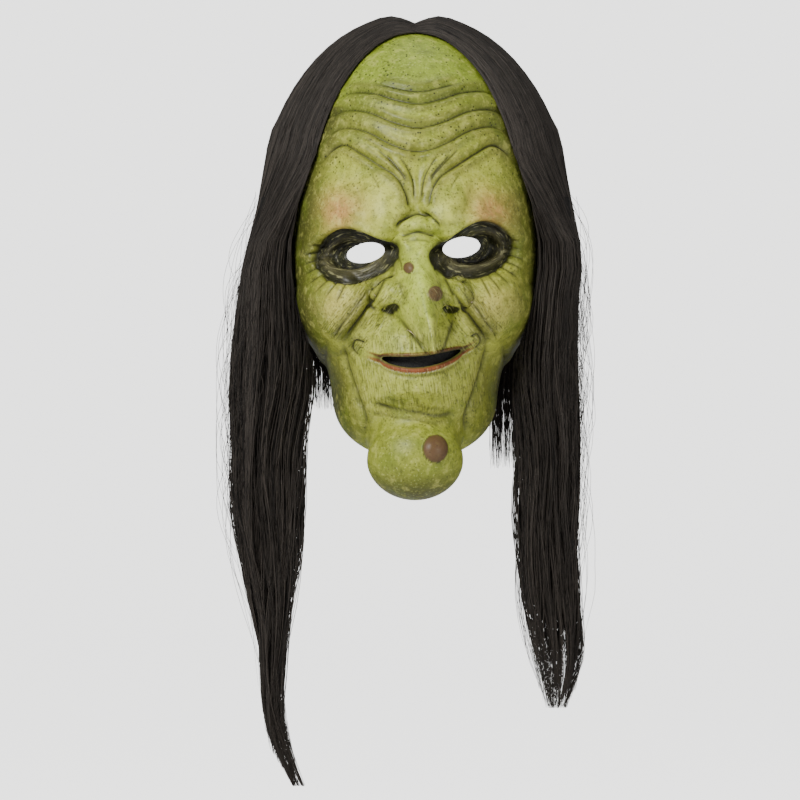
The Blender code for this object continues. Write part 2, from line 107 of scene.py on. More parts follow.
# The nose: height on the bare head, where its ridge goes (x, y, z), half width on the bare head,
# and how much the ridge's own width is kept.
NOSE = (
    (27, (0, -98, 27), 10, 1.0),
    (20, (1, -102, 21), 13, 1.0),
    (15, (1, -106.5, 16), 14, 1.0),
    (9, (1, -105.5, 10.5), 14, 1.0),
    (3, (1.5, -109, 3), 17, 0.95),
    (-7, (2, -117, -8), 20, 0.9),
    (-16, (4, -125, -20), 21, 0.85),
    (-24, (6, -132, -33), 21, 0.8),
    (-31, (9, -139, -47), 20, 0.7),
    (-36, (11, -143, -58), 18, 0.6),
    (-40, (12, -144, -66), 16, 0.5),
    (-43, (12.5, -140, -70.5), 14, 0.5),
    (-46, (11, -132, -67), 14, 0.55),
    (-49, (8, -122, -59), 14, 0.7),
    (-53, (4, -112, -54), 14, 0.9),
    (-59, (1, -104, -59), 12, 1.0),
)

# The ball of the chin is wrapped by a patch of the skin, given as shares of the way to the rim.
CHIN_PATCH, CHIN_PATCH_RADII = (0.0, -0.82), (0.40, 0.25)
CHIN_CENTRE = np.array([0.0, -76.0, -137.0])
CHIN_RADII = np.array([32.0, 31.0, 28.0])
CHIN_POLE_DROP, CHIN_WRAP, CHIN_EASE = 30.0, 115.0, 0.3


def smooth(low, high, value):
    """0 at low, 1 at high and an S between them; low may be the larger."""
    share = np.clip((value - low) / (high - low), 0, 1)
    return share * share * (3 - 2 * share)


def band(value, middle, width):
    """1 where a value is at the middle, falling off on both sides over this width."""
    return np.exp(-(((value - middle) / width) ** 2))


def grid_quads(rows, columns):
    """Corner numbers of each square of a grid of points, row by row."""
    index = np.arange(rows * columns).reshape(rows, columns)
    return np.stack([index[:-1, :-1], index[:-1, 1:], index[1:, 1:], index[1:, :-1]], -1)


def add_object(name, data):
    """Puts a mesh, a light or a camera in the scene."""
    made = bpy.data.objects.new(name, data)
    bpy.context.scene.collection.objects.link(made)
    return made


def rim_tilt(roll):
    """Degrees from straight ahead to the skin's rim at a roll in radians."""
    crown = np.clip(np.sin(roll), 0, 1)
    throat = np.clip(-np.sin(roll), 0, 1) ** 2.5
    return SIDE_TILT + (CROWN_TILT - SIDE_TILT) * crown + (THROAT_TILT - SIDE_TILT) * throat


def head_point(tilt, roll):
    """Point of the bare head form; tilt is in degrees and roll in radians, from +X towards +Z."""
    tilt = np.radians(tilt)
    roll = roll + 0 * tilt
    ahead = np.stack([np.sin(tilt) * np.cos(roll), -np.cos(tilt), np.sin(tilt) * np.sin(roll)], -1)
    size = (np.abs(ahead) ** HEAD_POWER).sum(-1, keepdims=True) ** (1 / HEAD_POWER)
    points = ahead / size * HEAD_RADII
    points[..., 0] *= 1 - JAW_TAPER * band(points[..., 2], JAW_Z, JAW_SPAN)
    return points


def head_normal(points):
    """Outward normals of the bare head form, above the jaw's taper."""
    steep = np.sign(points) * np.abs(points / HEAD_RADII) ** (HEAD_POWER - 1) / HEAD_RADII
    return steep / np.linalg.norm(steep, axis=-1, keepdims=True)


def nose(points, bare):
    """Carries the middle of the face out along the nose's ridge and back under its tip."""
    heights, ridge, width, keep = (np.array(each, float) for each in zip(*reversed(NOSE)))
    z = bare[..., 2]
    near_bridge = np.clip(1 - np.abs(heights / HEAD_RADII[2]) ** HEAD_POWER, 0, 1)
    depth_here = -HEAD_RADII[1] * near_bridge ** (1 / HEAD_POWER)
    push_x = np.interp(z, heights, ridge[:, 0])
    push_y = np.interp(z, heights, ridge[:, 1] - depth_here)
    push_z = np.interp(z, heights, ridge[:, 2] - heights)
    half = np.interp(z, heights, width)
    narrow = np.interp(z, heights, keep)
    inside = (z > heights[0]) & (z < heights[-1]) & (bare[..., 1] < 0)
    across = np.clip(np.abs(bare[..., 0]) / half, 0, 1)
    share = np.where(inside, (1 - across**2) ** 1.25, 0)
    ends = smooth(heights[0], heights[0] + 5, z) * smooth(heights[-1], heights[-1] - 5, z)
    share = share * ends
    pushed = points.copy()
    pushed[..., 0] += share * (push_x - (1 - narrow) * bare[..., 0])
    pushed[..., 1] += share * (push_y - (points[..., 1] - bare[..., 1]))
    pushed[..., 2] += share * (push_z - (points[..., 2] - bare[..., 2]))
    return pushed


def chin_ball(points, u, v):
    """Wraps the patch of skin at the chin over its ball."""
    du = (u - CHIN_PATCH[0]) / CHIN_PATCH_RADII[0]
    dv = (v - CHIN_PATCH[1]) / CHIN_PATCH_RADII[1]
    far = np.hypot(du, dv)
    wrap = np.radians(CHIN_WRAP) * np.minimum(far, 1)
    round_ball = np.arctan2(dv, du)
    drop = math.radians(CHIN_POLE_DROP)
    pole = np.array([0, -math.cos(drop), -math.sin(drop)])
    up_ball = np.array([0, -math.sin(drop), math.cos(drop)])
    side = np.array([1.0, 0, 0])
    away = np.cos(round_ball)[..., None] * side + np.sin(round_ball)[..., None] * up_ball
    on_ball = np.cos(wrap)[..., None] * pole + np.sin(wrap)[..., None] * away
    share = smooth(1, 1 - CHIN_EASE, far)[..., None]
    return points * (1 - share) + (CHIN_CENTRE + CHIN_RADII * on_ball) * share


def skin_points(across, up):
    """Large forms of the skin; across and up run from -1 to 1 over a square that covers it."""
    u = across * np.sqrt(1 - up**2 / 2)
    v = up * np.sqrt(1 - across**2 / 2)
    roll = np.arctan2(v, u)
    bare = head_point(rim_tilt(roll) * np.hypot(u, v), roll)
    pushed = bare.copy()
    front = np.clip(-bare[..., 1] / 30, 0, 1)
    for (cx, cz), (rx, rz), push, softness in FACE_FORMS.values():
        far = ((bare[..., 0] - cx) / rx) ** 2 + ((bare[..., 2] - cz) / rz) ** 2
        share = np.clip(1 - far, 0, 1) ** softness * front
        pushed += share[..., None] * np.array(push)
    return chin_ball(nose(pushed, bare), u, v)


# ---------------------------------------------------------------- the skin as a sculpture


def between(p0, p1, p2, p3, t):
    """Catmull-Rom point at share t of the way from p1 to p2."""
    bend = (2 * p0 - 5 * p1 + 4 * p2 - p3) * t**2 + (3 * p1 - p0 - 3 * p2 + p3) * t**3
    return 0.5 * (2 * p1 + (p2 - p0) * t + bend)


def curve_through(points, step=1.2):
    """A smooth curve through a few (x, z) points, as closely spaced points."""
    points = np.array(points, float)
    padded = np.concatenate([[2 * points[0] - points[1]], points, [2 * points[-1] - points[-2]]])
    found = []
    for i in range(1, len(padded) - 2):
        four = padded[i - 1 : i + 3]
        count = max(2, int(np.linalg.norm(four[2] - four[1]) / step))
        found.append(between(*four, np.linspace(0, 1, count, endpoint=False)[:, None]))
    return np.concatenate([*found, points[-1:]])


FADE = (0.12, 0.12)  # share of a crease's length over which it fades at its start and at its end


class Skin:
    """A grid of points that is sculpted along its normals and painted by named masks."""

    def __init__(self, points):
        self.points = points
        self.masks = {}
        self.flow_across, self.flow_along, self.flow_amount = np.zeros((3, *points.shape[:2]))
        self.refresh()

    def refresh(self):
        """Works out the normals again; called when large shapes have changed."""
        down = np.gradient(self.points, axis=0)
        right = np.gradient(self.points, axis=1)
        normals = np.cross(right, down)
        self.normals = normals / (np.linalg.norm(normals, axis=-1, keepdims=True) + 1e-9)
        self.x, self.z = self.points[..., 0].copy(), self.points[..., 2].copy()
        self.facing = np.clip(-self.normals[..., 1], 0, 1)

    def push(self, height):
        """Raises the skin by a height in millimetres along its normals."""
        self.points = self.points + self.normals * height[..., None]

    def paint(self, name, amount):
        """Adds to a mask, which never passes 1."""
        old = self.masks.get(name, 0)
        self.masks[name] = np.clip(np.maximum(old, amount), 0, 1)

    def near(self, path, reach):
        """Signed distance to a path and the share of the way along it, seen from the front."""
        low, high = path.min(0) - reach, path.max(0) + reach
        pick = (self.x > low[0]) & (self.x < high[0]) & (self.z > low[1]) & (self.z < high[1])
        pick &= self.points[..., 1] < 10
        px, pz = self.x[pick], self.z[pick]
        best = np.full(px.shape, 1e9)
        side = np.zeros(px.shape)
        along = np.zeros(px.shape)
        steps = np.linalg.norm(np.diff(path, axis=0), axis=1)
        start = np.concatenate([[0], np.cumsum(steps)])
        for i in range(len(path) - 1):
            (ax, az), (bx, bz) = path[i], path[i + 1]
            dx, dz = bx - ax, bz - az
            t = np.clip(((px - ax) * dx + (pz - az) * dz) / (steps[i] ** 2 + 1e-9), 0, 1)
            ox, oz = px - ax - t * dx, pz - az - t * dz
            far = np.hypot(ox, oz)
            nearer = far < best
            best = np.where(nearer, far, best)
            side = np.where(nearer, np.sign(dx * oz - dz * ox), side)
            along = np.where(nearer, (start[i] + t * steps[i]) / start[-1], along)
        distance = np.full(self.x.shape, 1e6)
        share = np.zeros(self.x.shape)
        distance[pick] = best * np.where(side == 0, 1, side)
        share[pick] = along
        return distance, share

    def flow(self, across, along, amount):
        """Sets the direction of the fine wrinkles where this amount is the strongest so far."""
        stronger = amount > self.flow_amount
        self.flow_across = np.where(stronger, across, self.flow_across)
        self.flow_along = np.where(stronger, along, self.flow_along)
        self.flow_amount = np.where(stronger, amount, self.flow_amount)

    def crease(self, points, depth, width, left=0.0, right=0.0, spread=3.0, painted_shade=1.0, ends=FADE):
        """A groove along a path, with a raised roll on its left and on its right; the groove is
        darkened with painted shade and the rolls get a brownish tone.
        """
        off, along = self.near(curve_through(points), 3 * (width + spread))
        taper = smooth(0, ends[0] + 1e-3, along) * smooth(1, 1 - ends[1] - 1e-3, along)
        groove = band(off, 0, width)
        roll_left = band(off, spread, spread * 0.75) * (off > -spread)
        roll_right = band(off, -spread, spread * 0.75) * (off < spread)
        self.push(taper * (left * roll_left + right * roll_right - depth * groove))
        # Painted shade along the groove.
        self.paint("painted_shade", painted_shade * taper * band(off, 0, width * 0.8))
        rolls = np.maximum(roll_left * min(left, 1), roll_right * min(right, 1))
        self.paint("ridge", painted_shade * taper * rolls)
        return off, along

    def bump(self, centre, radii, height, softness=1.5):
        """A round rise or pit, seen from the front; gives the share of it at each point."""
        far = ((self.x - centre[0]) / radii[0]) ** 2 + ((self.z - centre[1]) / radii[1]) ** 2
        share = np.clip(1 - far, 0, 1) ** softness * (self.facing > 0.05)
        self.push(height * share)
        return share


def spot(skin, centre, radii):
    """A soft round share of the skin, seen from the front."""
    far = ((skin.x - centre[0]) / radii[0]) ** 2 + ((skin.z - centre[1]) / radii[1]) ** 2
    return np.exp(-far)


def eye_round(x, z, hole):
    """How far out from the middle of an eye hole a point is: 1 on its edge."""
    dx = x - hole[0]
    dz = z - hole[1] - EYE_SLANT * dx
    return np.hypot(dx / EYE_HALF_WIDTH, dz / EYE_HALF_HEIGHT)


def mouth_middle(x):
    """Height of the mouth's middle line, which slants and curves up at its ends."""
    dx = x - MOUTH_X
    return MOUTH_Z + MOUTH_SLANT * dx + MOUTH_SMILE * (dx / MOUTH_HALF_WIDTH) ** 2


def mouth_round(x, z):
    """How far out from the middle of the mouth a point is: 1 on its edge."""
    return np.hypot((x - MOUTH_X) / MOUTH_HALF_WIDTH, (z - mouth_middle(x)) / MOUTH_HALF_HEIGHT)


def furrow(middle, rise, peak, end, drop, lean):
    """Points of a forehead furrow: low in the middle, high over each brow, falling at the temples."""
    found = []
    for share in (-1.0, -0.86, -0.72, -0.5, -0.25, 0.0, 0.25, 0.5, 0.72, 0.86, 1.0):
        x = share * end
        inner = min(abs(x) / peak, 1)
        z = middle + rise * (1 - math.cos(math.pi * inner)) / 2
        if abs(x) > peak:
            z -= drop * ((abs(x) - peak) / (end - peak)) ** 1.5
        found.append((x + 2, z + lean * share))
    return found


def on_side(side, path, middle=0):
    """A path drawn for the right-hand side of the face, kept there or mirrored to the left."""
    return [(side * x + middle, z) for x, z in path]


def sculpt_forehead(skin):
    """Four furrows across, the folds that sweep down from the temples, and frown lines."""
    furrows = (
        (104, 5, 30, 31, 0, 0.5, 2.0),
        (96, 9, 40, 59, 6, 0.8, 3.0),
        (80, 13, 45, 66, 9, 0.6, 3.4),
        (64, 17, 48, 68, 11, 0.8, 3.4),
    )
    for middle, rise, peak, end, drop, lean, depth in furrows:
        path = furrow(middle, rise, peak, end, drop, lean)
        skin.crease(path, depth, 1.1, left=1.3, right=1.9, spread=4.0, ends=(0.2, 0.2))
        # A wide soft wash of painted shade along each furrow.
        skin.crease(path, 0.1, 3.2, painted_shade=0.34, ends=(0.3, 0.3))
    for side in (-1, 1):
        temple = [(66, 55), (58, 65), (49, 69), (38, 63), (26, 55), (15, 48), (8, 38), (5.5, 27)]
        path = on_side(side, temple, 2)
        skin.crease(path, 3.4, 1.2, left=1.6, right=1.6, spread=4.0, ends=(0.2, 0.04))
        for frown in (
            [(13, 61), (7, 53), (3.5, 44), (3, 32)],
            [(27, 66), (18, 57), (11, 49), (8, 43)],
            [(21, 62), (13, 53), (8, 46)],
        ):
            path = on_side(side, frown, 2)
            skin.crease(path, 1.2, 0.8, left=0.4, right=0.4, spread=2.0, painted_shade=0.9)
        skin.refresh()
        valley = on_side(side, [(36, 46), (38, 34), (36, 22)], 1)
        skin.crease(valley, 2.2, 4.0, painted_shade=0.12, ends=(0.4, 0.4))
        brow = on_side(side, [(30, 50), (25, 43), (23, 38)])
        skin.crease(brow, 0.8, 0.8, painted_shade=0.6, ends=(0.3, 0.3))
    skin.refresh()


def relax(skin, times, share):
    """Evens out the grid by moving each point towards the middle of its neighbours."""
    for _ in range(times):
        p = skin.points
        middle = (p[:-2, 1:-1] + p[2:, 1:-1] + p[1:-1, :-2] + p[1:-1, 2:]) / 4
        move = (middle - p[1:-1, 1:-1]) * share[1:-1, 1:-1, None]
        skin.points = p.copy()
        skin.points[1:-1, 1:-1] += move
    skin.refresh()


def even_spikes(skin):
    """Smooths only where a point stands far from its neighbours, in the deepest folds."""
    for _ in range(8):
        p = skin.points
        middle = (p[:-2, 1:-1] + p[2:, 1:-1] + p[1:-1, :-2] + p[1:-1, 2:]) / 4
        stands_out = np.zeros(skin.x.shape)
        stands_out[1:-1, 1:-1] = np.linalg.norm(middle - p[1:-1, 1:-1], axis=-1)
        relax(skin, 1, 0.8 * smooth(0.3, 0.7, stands_out))


def sculpt_eyes(skin):
    """Deep dark sockets, each with a thin upper lid and a puffy bag below the hole."""
    for side, hole in ((-1, EYE_HOLES[0]), (1, EYE_HOLES[1])):
        out = eye_round(skin.x, skin.z, hole)
        dx = skin.x - hole[0] - side * SOCKET_SHIFT[0]
        dz = skin.z - hole[1] - SOCKET_SHIFT[1] - EYE_SLANT * dx
        high = SOCKET_RADII[1] * (0.5 + 0.5 * smooth(-0.9, 0.5, side * dx / SOCKET_RADII[0]))
        high = np.where(dz > 0, high, SOCKET_RADII[1])
        far = np.hypot(dx / SOCKET_RADII[0], dz / high)
        angle = np.arctan2(dz / high, dx / SOCKET_RADII[0])
        below = smooth(0.3, -0.3, np.sin(angle))
        above = 1 - below
        near_eye = (far < 2) & (skin.points[..., 1] < -30)
        bag = band(far, 0.74, 0.17) * below
        lid = band(far, 0.72, 0.10) * above
        edge = band(out, 1.15, 0.16)
        fold = band(far, 0.99, 0.085)
        inner = band(far, 0.5, 0.13)
        overhang = band(far, 1.28, 0.16) * above
        relief = 4.4 * bag + 1.6 * lid + 0.9 * edge + 2.6 * overhang - 3.0 * fold - 2.0 * inner
        skin.push(near_eye * relief)
        socket = smooth(1.1, 0.9, far) * near_eye
        skin.paint("socket", socket)
        skin.paint("bag", near_eye * np.maximum(bag, 0.45 * lid) * smooth(0.1, 0.5, 1 - inner))
        # Painted shade in the fold round the socket.
        skin.paint("painted_shade", near_eye * fold * 0.9)
        skin.flow(far * 24, angle * 12, socket * smooth(1.0, 1.3, out))
    skin.refresh()


def sculpt_bridge(skin):
    """A raised bridge with folds over it."""
    skin.bump((2, 16), (13, 7), 2.6, 1.2)
    skin.refresh()
    skin.crease([(-13, 12), (-8, 19), (2, 23.5), (12, 19), (17, 12)], 2.2, 1.0, left=0.8, spread=3)
    skin.crease([(-10, 8), (2, 10.5), (14, 8)], 1.8, 1.0, left=0.5, right=0.5, spread=2.5)
    skin.crease([(-7, 4), (2, 5.5), (11, 4)], 0.8, 0.8, painted_shade=0.5)


def sculpt_wings(skin):
    """The nose's wings with soft outlines of painted shade, painted shade down the sides of the nose,
    and its nostrils, darkened inside with painted shade.
    """
    for x in (-19, 25):
        skin.bump((x, -30), (13, 14), 8.5, 1.1)
    skin.refresh()
    # Wide shallow grooves down the sides of the nose, darkened with painted shade.
    for path, depth, painted_shade in (
        ([(-13, 8), (-12, 0), (-13, -9), (-17, -17)], 0.6, 0.5),
        ([(17, 8), (16, 0), (17, -9), (20, -17)], 0.6, 0.5),
        ([(-11, -20), (-7, -29), (-7, -38)], 0.4, 0.35),
        ([(17, -20), (18, -29), (19, -38)], 0.4, 0.45),
    ):
        skin.crease(path, depth, 3.0, painted_shade=painted_shade)
    wings = spot(skin, (-16, -32), (20, 22)) + spot(skin, (22, -32), (20, 22))
    relax(skin, 8, np.clip(0.1 + wings, 0, 0.8))
    # Sharp outlines round the wings, with wide soft painted shade beside them.
    for path, depth, width, painted_shade, ends in (
        ([(-12, -16), (-20, -19), (-28, -29), (-29.5, -37), (-24, -42)], 2.4, 1.4, 1.0, FADE),
        ([(17, -16), (25, -19), (34, -29), (35.5, -37), (30, -42)], 2.4, 1.4, 1.0, FADE),
        ([(-15, -17), (-22, -21), (-30, -31), (-30, -39)], 0.6, 3.4, 0.6, (0.2, 0.2)),
        ([(20, -17), (28, -21), (36, -31), (36, -39)], 0.6, 3.4, 0.6, (0.2, 0.2)),
        ([(-13, -19), (-9, -28), (-8, -37)], 1.6, 1.4, 0.6, (0.3, 0.3)),
        ([(16, -19), (18, -28), (19, -37)], 1.6, 1.4, 0.6, (0.3, 0.3)),
    ):
        skin.crease(path, depth, width, painted_shade=painted_shade, ends=ends)
    for x in (-16.5, 23.5):
        pit = skin.bump((x, -39.5), (6.5, 4.2), -4.0, 1.0)
        # Painted shade inside each nostril.
        skin.paint("painted_shade", smooth(0.1, 0.35, pit))
    relax(skin, 3, np.clip(0.05 + wings, 0, 0.6))
    for x in (-21, 27):
        skin.bump((x, -29), (9.5, 11), 3.6, 0.9)
    skin.refresh()


def sculpt_nose_lines(skin):
    """Lines beside the hooked tip and beside the bridge, darkened with painted shade."""
    for path in (
        [(-12, -44), (-4, -54), (4, -64), (8, -70)],
        [(25, -44), (22, -56), (18, -66), (15, -70)],
    ):
        skin.crease(path, 0.5, 1.6, painted_shade=0.75, ends=(0.2, 0.05))
    for side in (-1, 1):
        skin.crease(on_side(side, [(4, -56), (3, -66)], 1), 0.8, 0.9, painted_shade=0.5)
        lines = on_side(side, [(15, -3), (12, -9), (11, -15)], 2)
        skin.crease(lines, 0.9, 0.8, painted_shade=0.7)
        skin.crease([(x + side * 5, z - 1) for x, z in lines], 0.7, 0.7, painted_shade=0.6)
    skin.refresh()


def sculpt_cheeks(skin):
    """The deep folds from nose to jaw, and a fan of short lines from each eye's outer corner."""
    for side in (-1, 1):
        fold = on_side(side, [(18, -17), (27, -32), (35, -44), (43, -54), (50, -63)])
        rolls = {"right": 3.2} if side < 0 else {"left": 3.2}
        off, along = skin.crease(fold, 3.0, 1.5, spread=6.5, ends=(0.45, 0.2), **rolls)
        # Painted shade along the fold: thin in it, and wide beside its lower part.
        skin.crease(fold, 0.2, 1.3, painted_shade=0.9, ends=(0.1, 0.3))
        skin.crease(fold[1:], 0.3, 4.5, painted_shade=0.55, ends=(0.4, 0.15))
        on_cheek = smooth(1.5, 5, np.abs(off)) * smooth(22, 12, np.abs(off))
        on_cheek = on_cheek * (along > 0.02) * (along < 0.98)
        skin.flow(off, along * 60, on_cheek * 0.9)
        skin.refresh()
        second = on_side(side, [(30, -27), (39, -38), (48, -50), (55, -60)])
        skin.crease(second, 1.1, 1.1, left=0.4, right=0.4, spread=2.5, painted_shade=0.6)
        third = on_side(side, [(57, -59), (60, -74), (57, -92)])
        skin.crease(third, 1.2, 1.6, left=0.6, right=0.6, spread=4, painted_shade=0.35, ends=(0.3, 0.3))
        down = on_side(side, [(47, -60), (45, -76), (38.5, -96), (33, -112), (34, -128)])
        skin.crease(down, 2.0, 1.5, left=0.8, right=0.8, spread=4, painted_shade=0.75, ends=(0.15, 0.25))
        # Wide painted shade beside the line down to the jaw.
        skin.crease(down, 0.6, 4.0, painted_shade=0.3, ends=(0.3, 0.3))
        for turn in np.linspace(-62, 22, 8):
            angle = math.radians(turn)
            hole = EYE_HOLES[0] if side < 0 else EYE_HOLES[1]
            path = []
            for reach, bend in ((26, 0), (31, 0.5), (37, 2), (43, 4.5)):
                x = hole[0] + side * reach * math.cos(angle)
                z = hole[1] - 3 + 0.72 * reach * math.sin(angle) - bend
                path.append((x, z))
            skin.crease(path, 0.9, 0.75, left=0.35, right=0.35, spread=1.8, painted_shade=0.8, ends=(0.2, 0.35))
    skin.refresh()


def sculpt_mouth(skin):
    """Thin lips, the groove below them, upright wrinkles round them and a curl at each corner."""
    out, dz = mouth_round(skin.x, skin.z), skin.z - mouth_middle(skin.x)
    near = (skin.points[..., 1] < -60) & (np.abs(skin.x - MOUTH_X) < 60)
    share = np.clip(np.abs(skin.x - MOUTH_X) / 38, 0, 1)
    thin = np.sqrt(1 - share**2)
    lip = MOUTH_HALF_HEIGHT * np.sqrt(np.clip(1 - ((skin.x - MOUTH_X) / MOUTH_HALF_WIDTH) ** 2, 0, 1))
    below, above = -dz - lip, dz - lip
    lower = band(below, 2.0, 2.0) * thin * near
    upper = band(above, 1.2, 1.5) * thin * near
    skin.push(1.9 * lower + 1.1 * upper)
    skin.paint("lower_lip", smooth(0.25, 0.75, lower))
    skin.paint("upper_lip", smooth(0.25, 0.75, upper))
    under_lip = band(below, 3.9, 0.9) * near
    skin.paint("fleck", smooth(0.5, 0.9, under_lip) * smooth(1, 0.9, share))
    groove = band(below, 6.2, 1.3) * thin * near
    skin.push(-1.2 * groove)
    # Painted shade in the groove below the lips and round the mouth's opening.
    skin.paint("painted_shade", 0.45 * groove)
    skin.paint("painted_shade", near * smooth(1.35, 1.02, out) * 0.7)
    muzzle = smooth(1.15, 1.5, out) * (np.abs(skin.x - 2) < 44) * smooth(-112, -100, skin.z) * near
    muzzle = muzzle * smooth(-50, -58, skin.z)
    skin.flow(skin.x + 0.15 * (skin.z + 75), skin.z * 0.6, muzzle * 0.75)
    skin.refresh()
    for side, z in ((-1, -63), (1, -59)):
        corner = [(side * 34 + 2, z + 1), (side * 40 + 1, z + 3)]
        corner += [(side * 42 + 1, z - 2), (side * 38 + 1, z - 7)]
        skin.crease(corner, 1.3, 1.0, left=0.7, right=0.7, spread=2.2, painted_shade=0.9)
    skin.refresh()


def sculpt_chin(skin):
    """The crease above the ball of the chin, with a fainter one on each side of it."""
    crease = [(-29, -101), (-14, -105), (1, -107), (14, -109.5), (28, -107)]
    skin.crease(crease, 1.9, 1.8, left=0.5, right=1.0, spread=4, painted_shade=0.8)
    skin.crease([(0.8 * x, z + 4.5) for x, z in crease], 0.8, 1.0, painted_shade=0.5, ends=(0.25, 0.25))
    skin.crease([(0.9 * x, z - 5) for x, z in crease], 0.7, 0.9, painted_shade=0.4, ends=(0.25, 0.25))
    skin.refresh()


def add_warts(skin):
    """Two warts on the nose and one on the chin."""
    for x, z, half, height in WARTS:
        share = skin.bump((x, z), (half, half * 1.1), height, 0.7)
        skin.paint("wart", smooth(0.05, 0.4, share))
        # A ring of painted shade round each wart's base.
        edge = smooth(0.0, 0.08, share) * smooth(0.35, 0.08, share)
        skin.paint("painted_shade", 0.8 * edge)
    skin.refresh()


PAINT_POWER, PAINT_GAIN = 1.5, 1.15  # deepens all the painted colours together


def mixed(colour, other, share):
    return colour * (1 - share[..., None]) + np.array(other) * share[..., None]


def tint_skin(skin):
    """Base colour of each point, as painted by hand over the green latex, with painted shade in
    creases, under the chin and towards the sides, and a painted highlight down the nose.
    """
    masks = skin.masks
    tint = np.zeros(skin.x.shape + (3,)) + np.array([0.50, 0.525, 0.135])
    tint = mixed(tint, (0.36, 0.43, 0.085), smooth(60, 120, skin.z))
    for side in (-1, 1):
        tint = mixed(tint, (0.62, 0.63, 0.21), 0.8 * spot(skin, (side * 25, 30), (18, 14)))
        tint = mixed(tint, (0.62, 0.56, 0.22), 0.75 * spot(skin, (side * 54, -36), (18, 14)))
        tint = mixed(tint, (0.60, 0.34, 0.19), 0.75 * spot(skin, (side * 50, 25), (15, 14)))
    # Paler down the front of the nose: a painted highlight on its ridge.
    tint = mixed(tint, (0.53, 0.61, 0.15), 0.8 * spot(skin, (4, -20), (16, 45)))
    tint = mixed(tint, (0.55, 0.57, 0.20), 0.7 * spot(skin, (2, -66), (36, 18)))
    tint = mixed(tint, (0.36, 0.39, 0.09), smooth(-100, -125, skin.z))
    # Nearly black under the chin: painted shade.
    tint = mixed(tint, (0.12, 0.12, 0.035), 0.85 * smooth(-140, -164, skin.z))
    # Darker towards the sides of the face, more on the left: painted shade where the skin turns away.
    heights = (-150, -130, -110, -88, -69, -53, -20, 0, 50, 90, 130)
    half = np.interp(skin.z, heights, (38, 46, 51, 54, 64, 74, 80, 78, 72, 56, 46))
    edge = smooth(0.7, 1.0, np.abs(skin.x) / half) * (skin.z < 95)
    edge = edge * smooth(-165, -140, skin.z)
    tint = mixed(tint, (0.10, 0.105, 0.035), edge * np.where(skin.x < 0, 0.9, 0.65))
    flecks = masks["fleck"] * (RNG.random(skin.x.shape) > 0.68)
    for paint, share in (
        ((0.20, 0.19, 0.075), 0.5 * masks["ridge"]),
        ((0.15, 0.135, 0.095), 0.92 * masks["socket"]),
        ((0.022, 0.02, 0.017), 0.93 * masks["socket"] * (1 - masks["bag"]) ** 1.5),
        ((0.33, 0.10, 0.05), 0.9 * masks["lower_lip"]),
        ((0.24, 0.09, 0.045), 0.95 * masks["upper_lip"]),
        ((0.75, 0.74, 0.6), 0.85 * flecks),
        ((0.20, 0.12, 0.08), 0.92 * masks["wart"]),
        # Near black painted shade in the grooves, pits and round the openings.
        ((0.03, 0.03, 0.014), 0.9 * masks["painted_shade"]),
    ):
        tint = mixed(tint, paint, share)
    skin.tint = PAINT_GAIN * tint**PAINT_POWER
    covered = masks["socket"] + masks["wart"] + masks["lower_lip"] + masks["painted_shade"]
    bare_green = 1 - np.clip(covered, 0, 0.9)
    skin.masks = {"speckle": 0.55 + 0.45 * smooth(20, 80, skin.z), "bare_green": bare_green}


def make_skin():
    """The sculpted and painted grid of the mask's outer face."""
    step = np.linspace(-1, 1, SKIN_COLUMNS + 1)
    across = step * (0.62 + 0.38 * step**2)
    even = np.linspace(-1, 1, 2000)
    crowding = 1 + 1.6 * band(even, -0.28, 0.2) + 0.5 * band(even, 0, 0.4)
    total = np.cumsum(crowding)
    total = (total - total[0]) / (total[-1] - total[0])
    up = np.interp(np.linspace(0, 1, SKIN_ROWS + 1), total, even)
    grid_across, grid_up = np.meshgrid(across, up)
    skin = Skin(skin_points(grid_across, grid_up))
    if skin.normals[SKIN_ROWS // 2, SKIN_COLUMNS // 2, 1] > 0:
        raise ValueError("the skin's normals point inwards")
    for work in (
        sculpt_forehead,
        sculpt_eyes,
        sculpt_bridge,
        sculpt_wings,
        sculpt_nose_lines,
        sculpt_cheeks,
        sculpt_mouth,
        sculpt_chin,
        add_warts,
        even_spikes,
        tint_skin,
    ):
        work(skin)
    return skin


def holes(x, z):
    """How far out from the nearest opening's middle a point is: below 1 inside it."""
    return np.min([*(eye_round(x, z, hole) for hole in EYE_HOLES), mouth_round(x, z)], axis=0)


def mouth_shade_sheet(skin, finish):
    """A black sheet stretched behind the mouth, so that nothing shows through it: painted shade for the
    dark inside of the mask.
    """
    columns, rows = np.linspace(-27, 35, 21), np.linspace(-84, -63, 9)
    front = skin.points[..., 1] < -60
    points = []
    for z in rows:
        for x in columns:
            near = front & (np.hypot(skin.x - x, skin.z - z) < 5)
            points.append((x, np.quantile(skin.points[..., 1][near], 0.75) + 5.5, z))
    points = np.array(points).reshape(len(rows), len(columns), 3)
    for _ in range(6):
        points[:, 1:-1, 1] = (points[:, :-2, 1] + 2 * points[:, 1:-1, 1] + points[:, 2:, 1]) / 4
        points[1:-1, :, 1] = (points[:-2, :, 1] + 2 * points[1:-1, :, 1] + points[2:, :, 1]) / 4
    quads = grid_quads(len(rows), len(columns)).reshape(-1, 4)
    mesh = bpy.data.meshes.new("mouth_shade_sheet")
    mesh.from_pydata((points.reshape(-1, 3) * MM).tolist(), [], quads.tolist())
    mesh.shade_smooth()
    mesh.materials.append(finish)
    piece = add_object("mouth_shade_sheet", mesh)
    solid = piece.modifiers.new("thickness", "SOLIDIFY")
    solid.thickness = 0.5 * MM
    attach(piece, "mask")


